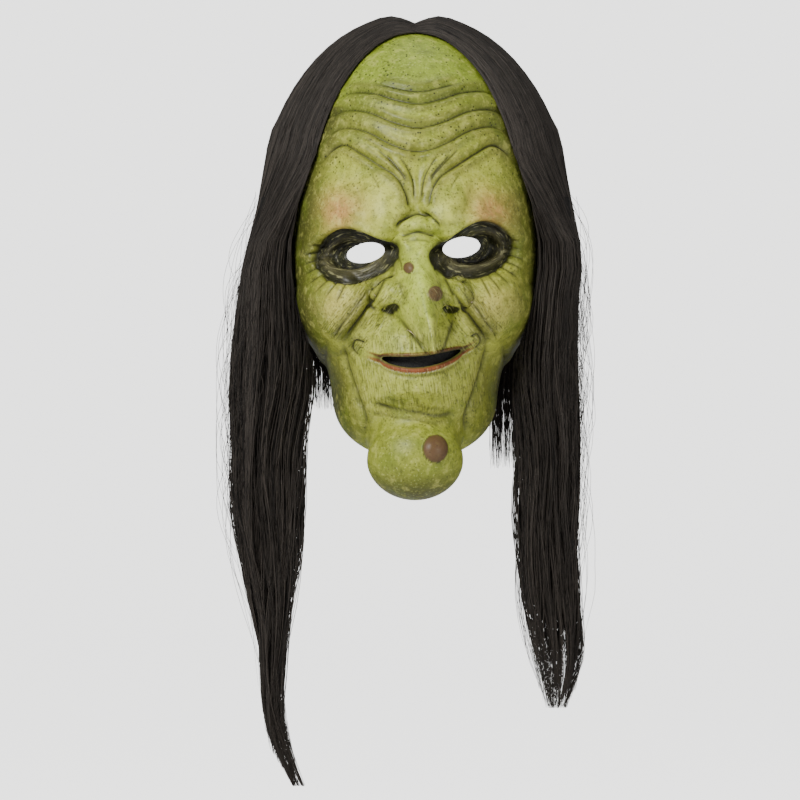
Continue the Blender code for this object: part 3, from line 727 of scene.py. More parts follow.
def casting(skin):
    """Share of the full thickness that the latex has at each point: less in its sharp bends."""
    bend = np.zeros(skin.x.shape)
    for axis in (0, 1):
        turn = np.linalg.norm(np.gradient(skin.normals, axis=axis), axis=-1)
        step = np.linalg.norm(np.gradient(skin.points, axis=axis), axis=-1)
        bend = np.maximum(bend, turn / (step + 0.05))
    for _ in range(3):
        wide = bend.copy()
        around = [bend[:-2, 1:-1], bend[2:, 1:-1], bend[1:-1, :-2], bend[1:-1, 2:]]
        wide[1:-1, 1:-1] = np.max(around, axis=0)
        bend = np.maximum(bend, wide)
    return np.clip(FREE_BEND / (bend * LATEX + 1e-6), THINNEST, 1)


def on_edge(x, z):
    """The point on the edge of the opening that x and z lie in, straight out from its middle."""
    mouth = (MOUTH_X, MOUTH_Z)
    near = min((*EYE_HOLES, mouth), key=lambda hole: math.hypot(hole[0] - x, hole[1] - z))
    dx = x - near[0]
    if near == mouth:
        middle = mouth_middle(x)
        half = MOUTH_HALF_HEIGHT * math.sqrt(max(0.0, 1 - (dx / MOUTH_HALF_WIDTH) ** 2))
        return x, middle + math.copysign(half, z - middle)
    dz = z - near[1] - EYE_SLANT * dx
    size = math.hypot(dx / EYE_HALF_WIDTH, dz / EYE_HALF_HEIGHT) + 1e-6
    return near[0] + dx / size, near[1] + dz / size + EYE_SLANT * dx / size


def store(mesh, name, kind, values):
    """Keeps a value at each point of a mesh, for the materials to read."""
    layer = mesh.attributes.new(name, kind, "POINT")
    key = {"FLOAT": "value", "FLOAT_VECTOR": "vector", "FLOAT_COLOR": "color"}[kind]
    layer.data.foreach_set(key, np.asarray(values, np.float32).ravel())


def skin_mesh(skin, name, finishes):
    """The skin as a solid object, with its openings left out and their edges made even."""
    inside = ((holes(skin.x, skin.z) < 1) & (skin.points[..., 1] < -30)).ravel()
    quads = grid_quads(*skin.x.shape)
    quads = quads[~inside[quads].all(-1)].reshape(-1, 4)
    used = np.zeros(inside.size, bool)
    used[quads.ravel()] = True
    points = skin.points.reshape(-1, 3).copy()
    for i in np.nonzero(used & inside)[0]:
        points[i, 0], points[i, 2] = on_edge(points[i, 0], points[i, 2])
    renumber = np.cumsum(used) - 1
    mesh = bpy.data.meshes.new(name)
    mesh.from_pydata((points[used] * MM).tolist(), [], renumber[quads].tolist())
    for mask, values in skin.masks.items():
        store(mesh, mask, "FLOAT", values.ravel()[used])
    flow = np.stack([skin.flow_across, skin.flow_along, skin.flow_amount], -1)
    store(mesh, "flow", "FLOAT_VECTOR", flow.reshape(-1, 3)[used])
    tint = skin.tint.reshape(-1, 3)[used]
    store(mesh, "tint", "FLOAT_COLOR", np.insert(tint, 3, 1, axis=1))
    mesh.shade_smooth()
    for finish in finishes:
        mesh.materials.append(finish)
    piece = add_object(name, mesh)
    group = piece.vertex_groups.new(name="casting")
    tenths = np.round(casting(skin).ravel()[used] * 10).astype(int)
    for tenth in range(11):
        group.add(np.nonzero(tenths == tenth)[0].tolist(), tenth / 10, "REPLACE")
    solid = piece.modifiers.new("thickness", "SOLIDIFY")
    solid.vertex_group = group.name
    solid.thickness = LATEX * MM
    solid.offset = -1
    solid.thickness_clamp = 1
    solid.material_offset = 1
    solid.material_offset_rim = 0
    return piece


# ---------------------------------------------------------------- materials


class Finish:
    """A material built node by node; sockets or plain values can be wired to any input."""

    def __init__(self, name, roughness=0.5, metallic=0.0):
        self.material = bpy.data.materials.new(name)
        self.material.use_nodes = True
        self.tree = self.material.node_tree
        self.shader = self.tree.nodes["Principled BSDF"]
        self.wire(self.shader.inputs["Roughness"], roughness)
        self.wire(self.shader.inputs["Metallic"], metallic)

    def wire(self, socket, value):
        if isinstance(value, bpy.types.NodeSocket):
            self.tree.links.new(value, socket)
        elif isinstance(value, tuple) and len(value) == 3 and socket.type == "RGBA":
            socket.default_value = (*value, 1)
        else:
            socket.default_value = value

    def node(self, kind, inputs=(), **settings):
        made = self.tree.nodes.new(kind)
        for key, value in settings.items():
            setattr(made, key, value)
        for key, value in dict(inputs).items():
            self.wire(made.inputs[key], value)
        return made

    def place(self):
        return self.node("ShaderNodeTexCoord").outputs["Object"]

    def noise(self, scale, detail=4.0, vector=None, distortion=0.0):
        inputs = {"Scale": scale, "Detail": detail, "Distortion": distortion}
        inputs["Vector"] = self.place() if vector is None else vector
        return self.node("ShaderNodeTexNoise", inputs).outputs["Fac"]

    def ramp(self, value, low, high, start=0.0, end=1.0):
        """A smooth ramp from start to end as the value goes from low to high."""
        inputs = {0: value, 1: low, 2: high, 3: start, 4: end}
        made = self.node("ShaderNodeMapRange", inputs, interpolation_type="SMOOTHSTEP")
        return made.outputs[0]

    def math(self, operation, first, second):
        return self.node("ShaderNodeMath", {0: first, 1: second}, operation=operation).outputs[0]

    def mix(self, first, second, share, blend="MIX"):
        made = self.node("ShaderNodeMix", data_type="RGBA", blend_type=blend)
        self.wire(made.inputs["Factor"], share)
        self.wire(made.inputs[6], first)
        self.wire(made.inputs[7], second)
        return made.outputs[2]

    def attribute(self, name, output="Fac"):
        return self.node("ShaderNodeAttribute", attribute_name=name).outputs[output]

    def bump(self, height, strength, distance, normal=None):
        inputs = {"Height": height, "Strength": strength, "Distance": distance}
        if normal is not None:
            inputs["Normal"] = normal
        return self.node("ShaderNodeBump", inputs).outputs["Normal"]

    def finish(self, colour, normal=None):
        self.wire(self.shader.inputs["Base Color"], colour)
        if normal is not None:
            self.wire(self.shader.inputs["Normal"], normal)
        return self.material


def mottled(finish, patchy, grain):
    """The painted tint with paler and darker greens sponged over it."""
    colour = finish.attribute("tint", "Color")
    bare_green = finish.attribute("bare_green")
    broad = finish.noise(55, 5)
    for paint, pattern, low, high, amount in (
        ((0.14, 0.19, 0.012), broad, 0.48, 0.68, 0.45),
        ((0.10, 0.12, 0.012), patchy, 0.5, 0.36, 0.35),
        ((0.60, 0.60, 0.15), patchy, 0.52, 0.68, 0.3),
        ((0.04, 0.045, 0.008), grain, 0.54, 0.70, 0.5),
        ((0.66, 0.68, 0.22), grain, 0.44, 0.30, 0.25),
    ):
        share = finish.math("MULTIPLY", finish.ramp(pattern, low, high, 0, amount), bare_green)
        colour = finish.mix(colour, paint, share)
    return colour


def wrinkled(finish, colour):
    """Fine wrinkles that follow the skin's flow, with painted shade in their grooves and a painted
    highlight on their ridges: their colour and depth.
    """
    parts = finish.node("ShaderNodeSeparateXYZ", {0: finish.attribute("flow", "Vector")})
    stretched = finish.node(
        "ShaderNodeCombineXYZ",
        {0: parts.outputs[0], 1: finish.math("MULTIPLY", parts.outputs[1], 0.16), 2: 0.0},
    ).outputs[0]
    lines = finish.noise(1.2, 3.0, stretched, 0.3)
    amount = parts.outputs[2]
    groove = finish.math("MULTIPLY", finish.ramp(lines, 0.47, 0.36, 0, 1), amount)
    # Painted shade in the wrinkles' grooves.
    colour = finish.mix(colour, (0.03, 0.03, 0.01), finish.math("MULTIPLY", groove, 0.6))
    # Painted highlight on the wrinkles' ridges.
    ridge = finish.math("MULTIPLY", finish.ramp(lines, 0.56, 0.66, 0, 1), amount)
    return finish.mix(colour, (0.5, 0.48, 0.22), finish.math("MULTIPLY", ridge, 0.4)), groove


def speckled(finish, colour):
    """Black specks, in patches."""
    cells = finish.node("ShaderNodeTexVoronoi", {"Vector": finish.place(), "Scale": 330.0})
    dots = finish.ramp(cells.outputs["Distance"], 0.26, 0.17, 0, 1)
    where = finish.ramp(finish.noise(90, 3), 0.40, 0.56, 0, 1)
    where = finish.math("MULTIPLY", where, finish.attribute("speckle"))
    dots = finish.math("MULTIPLY", dots, where)
    return finish.mix(colour, (0.01, 0.012, 0.005), finish.math("MULTIPLY", dots, 0.9))


def painted_latex():
    """Green latex with sponged mottling, black speckle, and painted shade and highlights along fine
    wrinkles.
    """
    finish = Finish("latex")
    finish.wire(finish.shader.inputs["Specular IOR Level"], 0.3)
    patchy, grain = finish.noise(170, 6), finish.noise(620, 4)
    colour, groove = wrinkled(finish, mottled(finish, patchy, grain))
    height = finish.math("SUBTRACT", finish.math("MULTIPLY", grain, 0.35), groove)
    finish.wire(finish.shader.inputs["Roughness"], finish.ramp(patchy, 0.3, 0.7, 0.38, 0.55))
    return finish.finish(speckled(finish, colour), finish.bump(height, 0.55, 0.0006))


def raw_latex():
    """The unpainted inside of the skin."""
    finish = Finish("raw_latex", 0.6)
    colour = finish.mix((0.55, 0.45, 0.28), (0.40, 0.33, 0.2), finish.ramp(finish.noise(80), 0.4, 0.65))
    return finish.finish(colour, finish.bump(finish.noise(260), 0.4, 0.0006))


def hair_finish():
    """Synthetic hair, black to dark brown from strand to strand."""
    finish = Finish("hair", 0.6)
    colour = finish.mix((0.01, 0.009, 0.008), (0.092, 0.077, 0.064), finish.attribute("shade"))
    finish.wire(finish.shader.inputs["Specular IOR Level"], 0.15)
    return finish.finish(colour)


def mouth_shade_finish():
    """The black painted shade behind the mouth, with a fine woven look."""
    finish = Finish("mouth_shade_black", 0.95)
    weave = finish.noise(2200, 2)
    colour = finish.mix((0.006, 0.006, 0.006), (0.03, 0.03, 0.028), finish.ramp(weave, 0.4, 0.65))
    return finish.finish(colour, finish.bump(weave, 0.4, 0.0003))


def weft_finish():
    """Dark woven tape with pale flecks of glue."""
    finish = Finish("weft_fabric", 0.9)
    weave = finish.noise(1800, 2)
    colour = finish.mix((0.035, 0.03, 0.026), (0.11, 0.095, 0.08), finish.ramp(weave, 0.4, 0.6))
    flecks = finish.ramp(finish.noise(420, 2), 0.62, 0.7, 0, 0.8)
    colour = finish.mix(colour, (0.4, 0.37, 0.32), flecks)
    return finish.finish(colour, finish.bump(weave, 0.5, 0.0004))


def elastic_finish():
    """Black braided elastic, ribbed along the strap."""
    finish = Finish("elastic", 0.85)
    ribs = finish.node(
        "ShaderNodeTexWave",
        {"Vector": finish.place(), "Scale": 130.0, "Distortion": 0.4},
        bands_direction="Z",
    ).outputs["Fac"]
    colour = finish.mix((0.012, 0.012, 0.012), (0.04, 0.04, 0.042), ribs)
    return finish.finish(colour, finish.bump(ribs, 0.6, 0.0004))


def hard_finish(name, colour, roughness, metallic):
    """A hard material whose shine is broken up by fine scratches and wear."""
    finish = Finish(name, metallic=metallic)
    wear = finish.noise(300, 4)
    worn = finish.ramp(wear, 0.3, 0.7, roughness - 0.08, roughness + 0.1)
    finish.wire(finish.shader.inputs["Roughness"], worn)
    darker = tuple(0.8 * part for part in colour)
    shade = finish.mix(colour, darker, finish.ramp(wear, 0.4, 0.7, 0, 1))
    return finish.finish(shade, finish.bump(finish.noise(1500, 2), 0.08, 0.0002))


# ---------------------------------------------------------------- hair

HAIRLINE_RADII = (71.0, 143.5)  # of the ellipse of the hairline, seen from the front
HAIR_OUTER_RADII = (108.5, 160.0)  # of the hair's outline
HAIR_AT_HAIRLINE, HAIR_OVER_SKIN = 3.4, 1.9
HANK_Y = -22.0
SPLIT_Z = -60.0  # where the upper and lower pieces of a hank's hair meet
UPPER_BEND, LOWER_BEND = (40, -5), (-98, -138)  # top and bottom heights listed with the upper and the lower pieces
STRANDS, CLUMPS, FLYAWAYS, NAPE_STRANDS = 2400, 70, 130, 900  # on each side
STRAND_RADIUS, FLYAWAY_RADIUS, NAPE_RADIUS = 0.23, 0.14, 0.22
FURTHEST_X = {"left": 132, "right": 120}  # how far to the side a flyaway may stand
NAPE_END = {"left": -106, "right": -145}
PRESSED, LOOSE = 14.0, 6.0  # how far inside and outside the skin hair is moved to lie just over it
SKULL_STATIONS = (9.0, 18, 28, 38, 48, 57, 65)  # degrees from the crown
UPPER_STATIONS = (6.0, -28.0)  # heights
LOWER_STATIONS = 9  # from the split to a strand's tip

# Stations of each hank: height, inner x, outer x, half depth.
HANKS = {
    "left": (
        (28, 87, 108, 20),
        (0, 86, 111, 22),
        (-33, 84, 117, 23),
        (-65, 79, 120, 23),
        (-100, 74, 122, 22),
        (-165, 74, 120, 21),
        (-205, 76, 114, 19),
        (-230, 81, 109, 17),
        (-264, 87, 104, 13),
        (-300, 89, 101, 8),
        (-330, 85, 95, 5),
        (-356, 75, 79, 2),
    ),
    "right": (
        (28, 87, 109, 20),
        (0, 86, 109.5, 22),
        (-33, 84, 108.5, 23),
        (-65, 79, 107.5, 23),
        (-100, 71, 107, 22),
        (-165, 66, 107, 21),
        (-198, 68, 107, 20),
        (-230, 70, 108, 18),
        (-264, 75, 110, 14),
        (-290, 82, 106, 9),
        (-304, 88, 99, 4),
    ),
}


def hairline_tilt(roll):
    """Degrees from straight ahead to the hairline at a roll in radians."""
    tilts = np.linspace(30, 90, 121)
    points = head_point(tilts, roll)
    inside = (points[:, 0] / HAIRLINE_RADII[0]) ** 2 + (points[:, 2] / HAIRLINE_RADII[1]) ** 2
    return float(np.interp(1.0, inside, tilts))


HAIRLINE_ANGLES = np.linspace(0, 90, 46)  # degrees from the crown
HAIRLINE_TILTS = np.array([hairline_tilt(math.radians(90 - a)) for a in HAIRLINE_ANGLES])


def over_skull(side, from_crown, back, deep):
    """Points of hair lying on the head: degrees from the crown, front to back, and depth."""
    roll = np.radians(90 - from_crown)
    start = np.interp(from_crown, HAIRLINE_ANGLES, HAIRLINE_TILTS)
    tilt = start + (rim_tilt(roll) - start) * back
    surface = head_point(tilt, roll)
    normal = head_normal(surface)
    at_rim = np.hypot(
        (HAIR_OUTER_RADII[0] - HEAD_RADII[0]) * np.cos(roll),
        (HAIR_OUTER_RADII[1] - HEAD_RADII[2]) * np.sin(roll),
    )
    high = HAIR_AT_HAIRLINE + (at_rim - HAIR_AT_HAIRLINE) * np.clip(back, 0, 1) ** 0.7
    high = HAIR_OVER_SKIN + (high - HAIR_OVER_SKIN) * (1 - deep) * smooth(-3, 9, from_crown)
    points = surface + normal * high[..., None]
    points[..., 0] *= side
    return points


def hank_section(name, z):
    """Inner x, outer x and half depth of a hank at a height."""
    stations = np.array(HANKS[name])
    return (np.interp(-z, -stations[:, 0], stations[:, k]) for k in (1, 2, 3))


def in_hank(name, z, back, deep):
    """Points of hair inside a hank: height, front to back and outer to inner."""
    inner, outer, depth = hank_section(name, z)
    forward = np.clip(1 - back, 0, 1) ** 2 * smooth(-150, -60, z)
    inner = inner - 18 * forward
    outer = outer - 4 * forward
    depth = depth + 8 * forward
    u, v = 2 * back - 1, 1 - 2 * deep
    x = (inner + outer) / 2 + (outer - inner) / 2 * v * np.sqrt(1 - u**2 / 2)
    y = HANK_Y + depth * u * np.sqrt(1 - v**2 / 2)
    return np.stack([SIDES[name] * x, y, z], -1)


def smooth_path(points, pieces):
    """Catmull-Rom subdivision of many paths at once; points are strand, station, xyz."""
    first = 2 * points[:, :1] - points[:, 1:2]
    last = 2 * points[:, -1:] - points[:, -2:-1]
    padded = np.concatenate([first, points, last], axis=1)
    p0, p1, p2, p3 = padded[:, :-3], padded[:, 1:-2], padded[:, 2:-1], padded[:, 3:]
    found = [between(p0, p1, p2, p3, t) for t in np.arange(pieces) / pieces]
    inner = np.stack(found, axis=2).reshape(points.shape[0], -1, 3)
    return np.concatenate([inner, points[:, -1:]], axis=1)


def tubes(paths, radii):
    """Three-sided tubes along many paths: points and quads."""
    count, stations = paths.shape[:2]
    along = np.gradient(paths, axis=1)
    along /= np.linalg.norm(along, axis=-1, keepdims=True) + 1e-9
    across = np.cross(along, np.array([0.0, 1.0, 0.15]))
    across /= np.linalg.norm(across, axis=-1, keepdims=True) + 1e-9
    other = np.cross(along, across)
    rings = []
    for angle in np.radians([90, 210, 330]):
        rings.append(paths + radii[..., None] * (math.cos(angle) * across + math.sin(angle) * other))
    points = np.stack(rings, axis=2).reshape(-1, 3)
    index = np.arange(count * stations * 3).reshape(count, stations, 3)
    here, there = index, np.roll(index, -1, axis=2)
    quads = np.stack([here[:, :-1], there[:, :-1], there[:, 1:], here[:, 1:]], -1)
    return points, quads.reshape(-1, 4)


def core(name, heights, share, count=12):
    """A dark tube inside a hank, so that no light shows between the strands."""
    around = np.linspace(0, 2 * np.pi, count, endpoint=False)
    rings = []
    for i, z in enumerate(heights):
        inner, outer, depth = hank_section(name, z)
        size = share if 0 < i < len(heights) - 1 else share * 0.6
        x = SIDES[name] * ((inner + outer) / 2 + size * (outer - inner) / 2 * np.cos(around))
        rings.append(np.stack([x, HANK_Y + size * depth * np.sin(around), 0 * around + z], -1))
    points = np.concatenate(rings)
    here = np.arange(len(points)).reshape(-1, count)
    there = np.roll(here, -1, axis=1)
    return points, np.stack([here[:-1], there[:-1], there[1:], here[1:]], -1).reshape(-1, 4)


def skull_core(side):
    """A dark sheet under the hair on the skull."""
    angles, back = np.meshgrid(np.linspace(2.5, 76, 30), np.linspace(0.3, 1, 8))
    points = over_skull(side, angles, back, 0 * back + 0.97)
    return points.reshape(-1, 3), grid_quads(*angles.shape).reshape(-1, 4)


def hair_mesh(name, parts, finish):
    """One object from several sets of points, quads and shades."""
    points, quads, shades, start = [], [], [], 0
    for part_points, part_quads, part_shades in parts:
        points.append(part_points)
        quads.append(part_quads + start)
        shades.append(part_shades)
        start += len(part_points)
    points, quads, shades = np.concatenate(points), np.concatenate(quads), np.concatenate(shades)
    mesh = bpy.data.meshes.new(name)
    mesh.vertices.add(len(points))
    mesh.vertices.foreach_set("co", (points * MM).astype(np.float32).ravel())
    mesh.loops.add(quads.size)
    mesh.loops.foreach_set("vertex_index", quads.astype(np.int32).ravel())
    mesh.polygons.add(len(quads))
    mesh.polygons.foreach_set("loop_start", np.arange(0, quads.size, 4, dtype=np.int32))
    mesh.update(calc_edges=True)
    mesh.validate()
    store(mesh, "shade", "FLOAT", shades)
    mesh.shade_smooth()
    mesh.materials.append(finish)
    piece = add_object(name, mesh)
    return piece


def outside_skin(paths):
    """The paths moved sideways, below the temples, where they would run through the latex."""
    y, z = paths[..., 1] / HEAD_RADII[1], paths[..., 2] / HEAD_RADII[2]
    left = np.clip(1 - np.abs(y) ** HEAD_POWER - np.abs(z) ** HEAD_POWER, 0, 1)
    half = HEAD_RADII[0] * left ** (1 / HEAD_POWER)
    half = half * (1 - JAW_TAPER * band(paths[..., 2], JAW_Z, JAW_SPAN))
    gap = np.abs(paths[..., 0]) - half
    share = np.clip((gap + PRESSED) / (PRESSED + LOOSE), 0, 1)
    short = np.maximum(1 + (LOOSE - 1) * share - gap, 0) * smooth(70, 40, paths[..., 2])
    moved = paths.copy()
    moved[..., 0] += np.sign(paths[..., 0]) * short
    return moved


def on_skull(name, back, deep):
    """Strands from the parting over the skull, wandering a little from front to back."""
    first = -0.4 + 2.6 * RNG.random(STRANDS)
    angles = np.concatenate([first[:, None], np.tile(SKULL_STATIONS, (STRANDS, 1))], 1)
    wander = 0.018 * np.cumsum(RNG.normal(size=angles.shape), axis=1)
    from_front = np.clip(back[:, None] + wander, 0.0, 1)
    return over_skull(SIDES[name], angles, from_front, deep[:, None] + 0 * angles)


def down_hank(name, back, deep, clump, clump_back, clump_deep):
    """Strands down a hank, drawn together in clumps that sway towards their tips."""
    end_z = HANKS[name][-1][0] * (1 - 0.62 * RNG.random(STRANDS) ** 1.9)
    end_z[RNG.random(STRANDS) < 0.05] = -120
    share = np.linspace(0, 1, LOWER_STATIONS)[None, 1:]
    lower_z = SPLIT_Z + (end_z[:, None] - SPLIT_Z) * share
    z = np.concatenate([np.tile([*UPPER_STATIONS, SPLIT_Z], (STRANDS, 1)), lower_z], 1)
    gather = 0.75 * smooth(20, -230, z)
    drift = 0.03 * np.cumsum(RNG.normal(size=z.shape), axis=1) * smooth(30, -60, z)
    at_back = back[:, None] * (1 - gather) + clump_back[clump][:, None] * gather + drift
    at_deep = deep[:, None] * (1 - gather) + clump_deep[clump][:, None] * gather
    at_deep = at_deep + drift[:, ::-1] * 0.8
    hank = in_hank(name, z, np.clip(at_back, -0.05, 1.05), np.clip(at_deep, -0.06, 1.04))
    phase = RNG.random(CLUMPS)[clump][:, None] * 6.28 + 0.5 * RNG.random((STRANDS, 1))
    sway = 2.6 * smooth(0, -260, z)
    hank[..., 0] += sway * np.sin(z / 24 + phase)
    hank[..., 1] += sway * np.cos(z / 31 + 2 * phase)
    return hank


def strand_paths(name):
    """Paths of a side's strands over the skull and down: their parts above and below the split."""
    back = RNG.random(STRANDS)
    deep = RNG.random(STRANDS) ** 1.6
    clump_back, clump_deep = RNG.random(CLUMPS), RNG.random(CLUMPS)
    far = (back[:, None] - clump_back) ** 2 + (deep[:, None] - clump_deep) ** 2
    skull = on_skull(name, back, deep)
    hank = down_hank(name, back, deep, np.argmin(far, axis=1), clump_back, clump_deep)
    fine = outside_skin(smooth_path(np.concatenate([skull, hank], axis=1), 2))
    split = 2 * (1 + len(SKULL_STATIONS) + len(UPPER_STATIONS))
    return fine[:, : split + 1], fine[:, split:]


def radii_for(paths, size, root=1.0, tip=1.0):
    """Radius along each path, thinner by these shares at its root and its tip."""
    share = np.linspace(0, 1, paths.shape[1])[None, :]
    taper = root + (1 - root) * np.clip(share / 0.1, 0, 1)
    end = 1 + (tip - 1) * smooth(0.6, 1.0, share)
    return size * taper * end * np.ones((paths.shape[0], 1))


def flyaways(name):
    """Loose strands that stand away from a hank, and whether each hangs below the split."""
    count = FLYAWAYS
    back, deep = RNG.random(count), 0.25 * RNG.random(count)
    start = 40 - 190 * RNG.random(count)
    length = 60 + 100 * RNG.random(count)
    share = np.linspace(0, 1, 9)[None, :]
    z = start[:, None] - length[:, None] * share
    z = np.maximum(z, HANKS[name][-1][0] + 4)
    z = np.sort(z, axis=1)[:, ::-1]
    path = in_hank(name, z, back[:, None] + 0 * z, deep[:, None] + 0 * z)
    out = (3 + 13 * RNG.random(count))[:, None] * np.sin(np.pi * share**0.8)
    path[..., 0] += SIDES[name] * out + RNG.normal(size=(count, 1)) * 2 * share
    path[..., 0] += 1.5 * np.sin(share * 9 + 6.28 * RNG.random((count, 1)))
    path[..., 0] = np.clip(path[..., 0], -FURTHEST_X[name], FURTHEST_X[name])
    return smooth_path(path, 2), start < SPLIT_Z + 40


def nape(name):
    """Strands behind the jaw, hanging from the rim inside the strap."""
    side, count = SIDES[name], NAPE_STRANDS
    angles = np.tile([38.0, 43, 48], (count, 1))
    deep = 0.7 + 0.3 * RNG.random((count, 1)) + 0 * angles
    skull = over_skull(side, angles, 0.93 + 0.07 * RNG.random((count, 1)) + 0 * angles, deep)
    lowest = NAPE_END[name] * (0.5 + 0.5 * RNG.random((count, 1)) ** 0.7)
    z = 62 + (lowest - 62) * np.linspace(0, 1, 9)[None, :]
    at_strap = 64 + 8 * RNG.random((count, 1))
    at_jaw = 51 + 24 * RNG.random((count, 1))
    x = at_strap + (at_jaw - at_strap) * smooth(0, -90, z)
    y = 11 + 8 * RNG.random((count, 1)) - 9 * RNG.random((count, 1)) * smooth(-30, -70, z)
    hanging = np.stack([side * (x + np.sin(z / 22 + y)), y + 0 * z, z], -1)
    return smooth_path(np.concatenate([skull, hanging], 1), 2)


def shades_for(paths, base, spread):
    """Lightness of each strand's points, a little paler towards its tip."""
    each = np.clip(base + spread * RNG.normal(size=(paths.shape[0], 1, 1)), 0, 1)
    along = np.linspace(0, 1, paths.shape[1])[None, :, None]
    return (each + 0.08 * along + np.zeros((1, 1, 3))).ravel()


def hair_parts(name):
    """Points, quads and shades of a side's hair: above the split, below it and at the nape."""
    above, below = strand_paths(name)
    loose, hangs_low = flyaways(name)
    behind = nape(name)
    upper_parts, lower_parts = [], []
    half = STRANDS // 2
    for part in (slice(0, half), slice(half, STRANDS)):
        points, quads = tubes(above[part], radii_for(above[part], STRAND_RADIUS, 0.6))
        upper_parts.append((points, quads, shades_for(above[part], 0.3, 0.22)))
        points, quads = tubes(below[part], radii_for(below[part], STRAND_RADIUS, 1.0, 0.35))
        lower_parts.append((points, quads, shades_for(below[part], 0.36, 0.22)))
    nape_parts = []
    for paths, parts, size in (
        (loose[~hangs_low], upper_parts, FLYAWAY_RADIUS),
        (loose[hangs_low], lower_parts, FLYAWAY_RADIUS),
        (behind, nape_parts, NAPE_RADIUS),
    ):
        points, quads = tubes(paths, radii_for(paths, size, 1.0, 0.4))
        parts.append((points, quads, shades_for(paths, 0.3, 0.2)))
    for shape, parts in (
        (core(name, (36, 10, -20, -58), 0.74), upper_parts),
        (core(name, (-56, -100, -160, -205), 0.7), lower_parts),
        (skull_core(SIDES[name]), upper_parts),
    ):
        parts.append((*shape, np.zeros(len(shape[0]))))
    return upper_parts, lower_parts, nape_parts


def add_hair(name, finish):
    """A side's hair: upper and lower pieces, each in a front and a back part, and the nape's."""
    upper_parts, lower_parts, nape_parts = hair_parts(name)
    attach(hair_mesh(f"hair_{name}_nape", nape_parts, finish), "mask")
    upper, lower = f"{name}_hank_upper", f"{name}_hank_lower"
    pieces = (
        ("upper_front", upper_parts[:1] + upper_parts[3:], "mask", upper, UPPER_BEND),
        ("upper_back", upper_parts[1:3], "mask", upper, UPPER_BEND),
        ("lower_front", lower_parts[:1] + lower_parts[3:], upper, lower, LOWER_BEND),
        ("lower_back", lower_parts[1:3], upper, lower, LOWER_BEND),
    )
    for place, parts, body, next_body, heights in pieces:
        piece = hair_mesh(f"hair_{name}_{place}", parts, finish)
        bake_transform(piece)
        if place == "upper_front":
            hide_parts(f"hair_{name}_side", f"hair_{name}_upper")
        if place == "lower_front":
            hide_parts(f"hair_{name}_lower")


# ---------------------------------------------------------------- studio

# All in metres.
PICTURE_WIDTH = 0.528  # across the picture, in the plane of the eyes
PICTURE_CENTRE = (-0.0099, -0.099)
CAMERA_DISTANCE = 4.5
EYE_PLANE = -0.06
LIT_POINT = Vector((0, -0.05, -0.02))
LIGHTS = {  # place, size and power in watts
    "key": ((-1.1, -2.0, 1.3), 0.8, 78),
    "fill": ((1.6, -1.5, 0.1), 1.2, 14),
    "top": ((0.1, 0.2, 1.9), 1.0, 7),
}
FLOOR_BELOW = 0.12  # from the lowest tip of hair down to the floor
FLOOR_BACK, BEND_RADIUS, WALL_TOP = 6.0, 1.5, 8.0
PAPER_REACH = 9.0  # to each side, and in front
WORLD_LIGHT, WORLD_SEEN = 0.3, 2.8  # strength on the mask and in the picture


def add_camera():
    camera = add_object("camera", bpy.data.cameras.new("camera"))
    camera.data.angle = 2 * math.atan(PICTURE_WIDTH / 2 / CAMERA_DISTANCE)
    camera.location = (PICTURE_CENTRE[0], EYE_PLANE - CAMERA_DISTANCE, PICTURE_CENTRE[1])
    camera.rotation_euler = (math.radians(90), 0, 0)
    bpy.context.scene.camera = camera


def add_lights():
    for name, (place, size, power) in LIGHTS.items():
        light = add_object(name, bpy.data.lights.new(name, "AREA"))
        light.data.size = size
        light.data.energy = power
        light.location = place
        light.rotation_euler = (LIT_POINT - Vector(place)).to_track_quat("-Z", "Y").to_euler()


def add_world():
    """White surroundings, brighter in the picture than on the mask."""
    world = bpy.data.worlds.new("studio")
    world.use_nodes = True
    nodes, links = world.node_tree.nodes, world.node_tree.links
    background = nodes["Background"]
    background.inputs["Color"].default_value = (1, 1, 1, 1)
    strength = nodes.new("ShaderNodeMapRange")
    strength.inputs["To Min"].default_value = WORLD_LIGHT
    strength.inputs["To Max"].default_value = WORLD_SEEN
    seen = nodes.new("ShaderNodeLightPath").outputs["Is Camera Ray"]
    links.new(seen, strength.inputs["Value"])
    links.new(strength.outputs["Result"], background.inputs["Strength"])
    bpy.context.scene.world = world


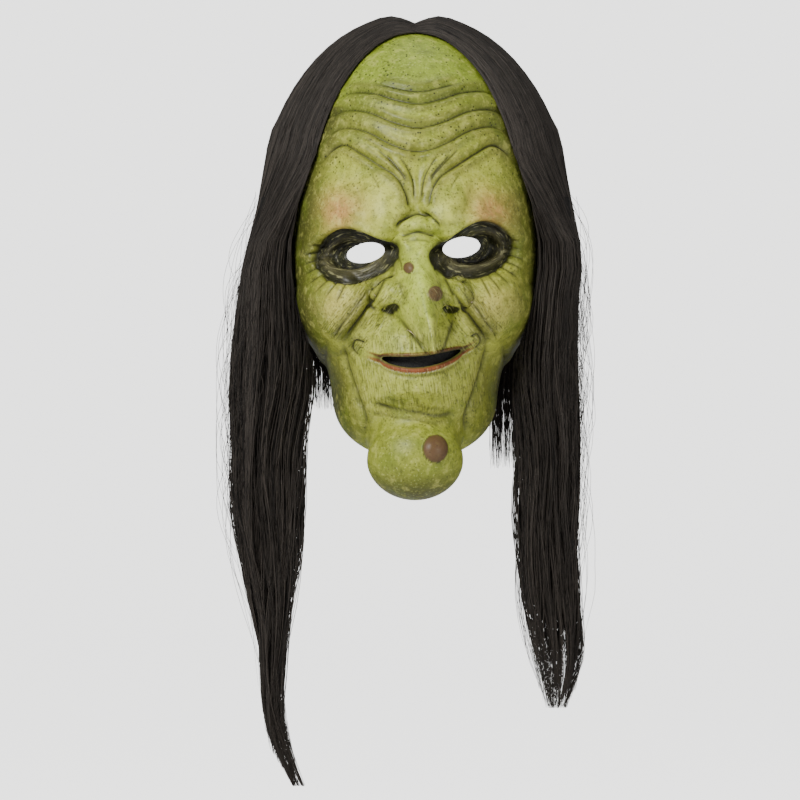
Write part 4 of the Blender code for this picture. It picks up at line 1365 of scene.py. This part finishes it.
def paper_finish():
    paper = Finish("paper", 0.9)
    shade = paper.mix((0.86, 0.86, 0.855), (0.82, 0.82, 0.815), paper.noise(3))
    paper.wire(paper.shader.inputs["Emission Color"], (1.0, 1.0, 0.99))
    seen = paper.node("ShaderNodeLightPath").outputs["Is Camera Ray"]
    paper.wire(paper.shader.inputs["Emission Strength"], paper.ramp(seen, 0, 1, 0.0, 2.2))
    return paper.finish(shade)


def add_paper():
    """A pale sheet that lies under the mask and curves up behind it."""
    floor_z = CAD_BOX[0][2] - FLOOR_BELOW
    profile = [(-PAPER_REACH, floor_z), (FLOOR_BACK, floor_z)]
    for angle in np.radians(np.arange(10, 91, 10)):
        up = BEND_RADIUS * (1 - math.cos(angle))
        profile.append((FLOOR_BACK + BEND_RADIUS * math.sin(angle), floor_z + up))
    profile.append((FLOOR_BACK + BEND_RADIUS, WALL_TOP))
    points = [(x, y, z) for y, z in profile for x in (-PAPER_REACH, PAPER_REACH)]
    faces = [(2 * i, 2 * i + 1, 2 * i + 3, 2 * i + 2) for i in range(len(profile) - 1)]
    mesh = bpy.data.meshes.new("paper_sweep")
    mesh.from_pydata(points, [], faces)
    mesh.shade_smooth()
    mesh.materials.append(paper_finish())
    add_object("paper_sweep", mesh)


def main():
    add_camera()
    add_lights()
    add_world()
    add_paper()
    skin = make_skin()
    face = skin_mesh(skin, "face", [painted_latex(), raw_latex()])
    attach(face, "mask")
    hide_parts("face_shell")
    mouth_shade_sheet(skin, mouth_shade_finish())
    hair = hair_finish()
    for name in HANKS:
        add_hair(name, hair)
    finishes = {
        "weft": weft_finish(),
        "elastic": elastic_finish(),
        "nickel": hard_finish("nickel_plate", (0.62, 0.6, 0.57), 0.28, 1.0),
        "plastic": hard_finish("black_plastic", (0.02, 0.02, 0.021), 0.35, 0.0),
    }
    wefts = [f"weft_{place}_{side}" for place in ("front", "rear") for side in SIDES]
    patches = [f"patch_{side}" for side in SIDES]
    for finish, nodes in {
        "weft": ["parting_base", *wefts, *patches],
        "elastic": ("elastic_strap", "ring_tab"),
        "nickel": ("rivet_left", "rivet_right", "washer_left", "washer_right", "strap_ring"),
        "plastic": ("strap_slider",),
    }.items():
        for node in nodes:
            bpy.data.objects[node].material_slots[0].material = finishes[finish]


main()
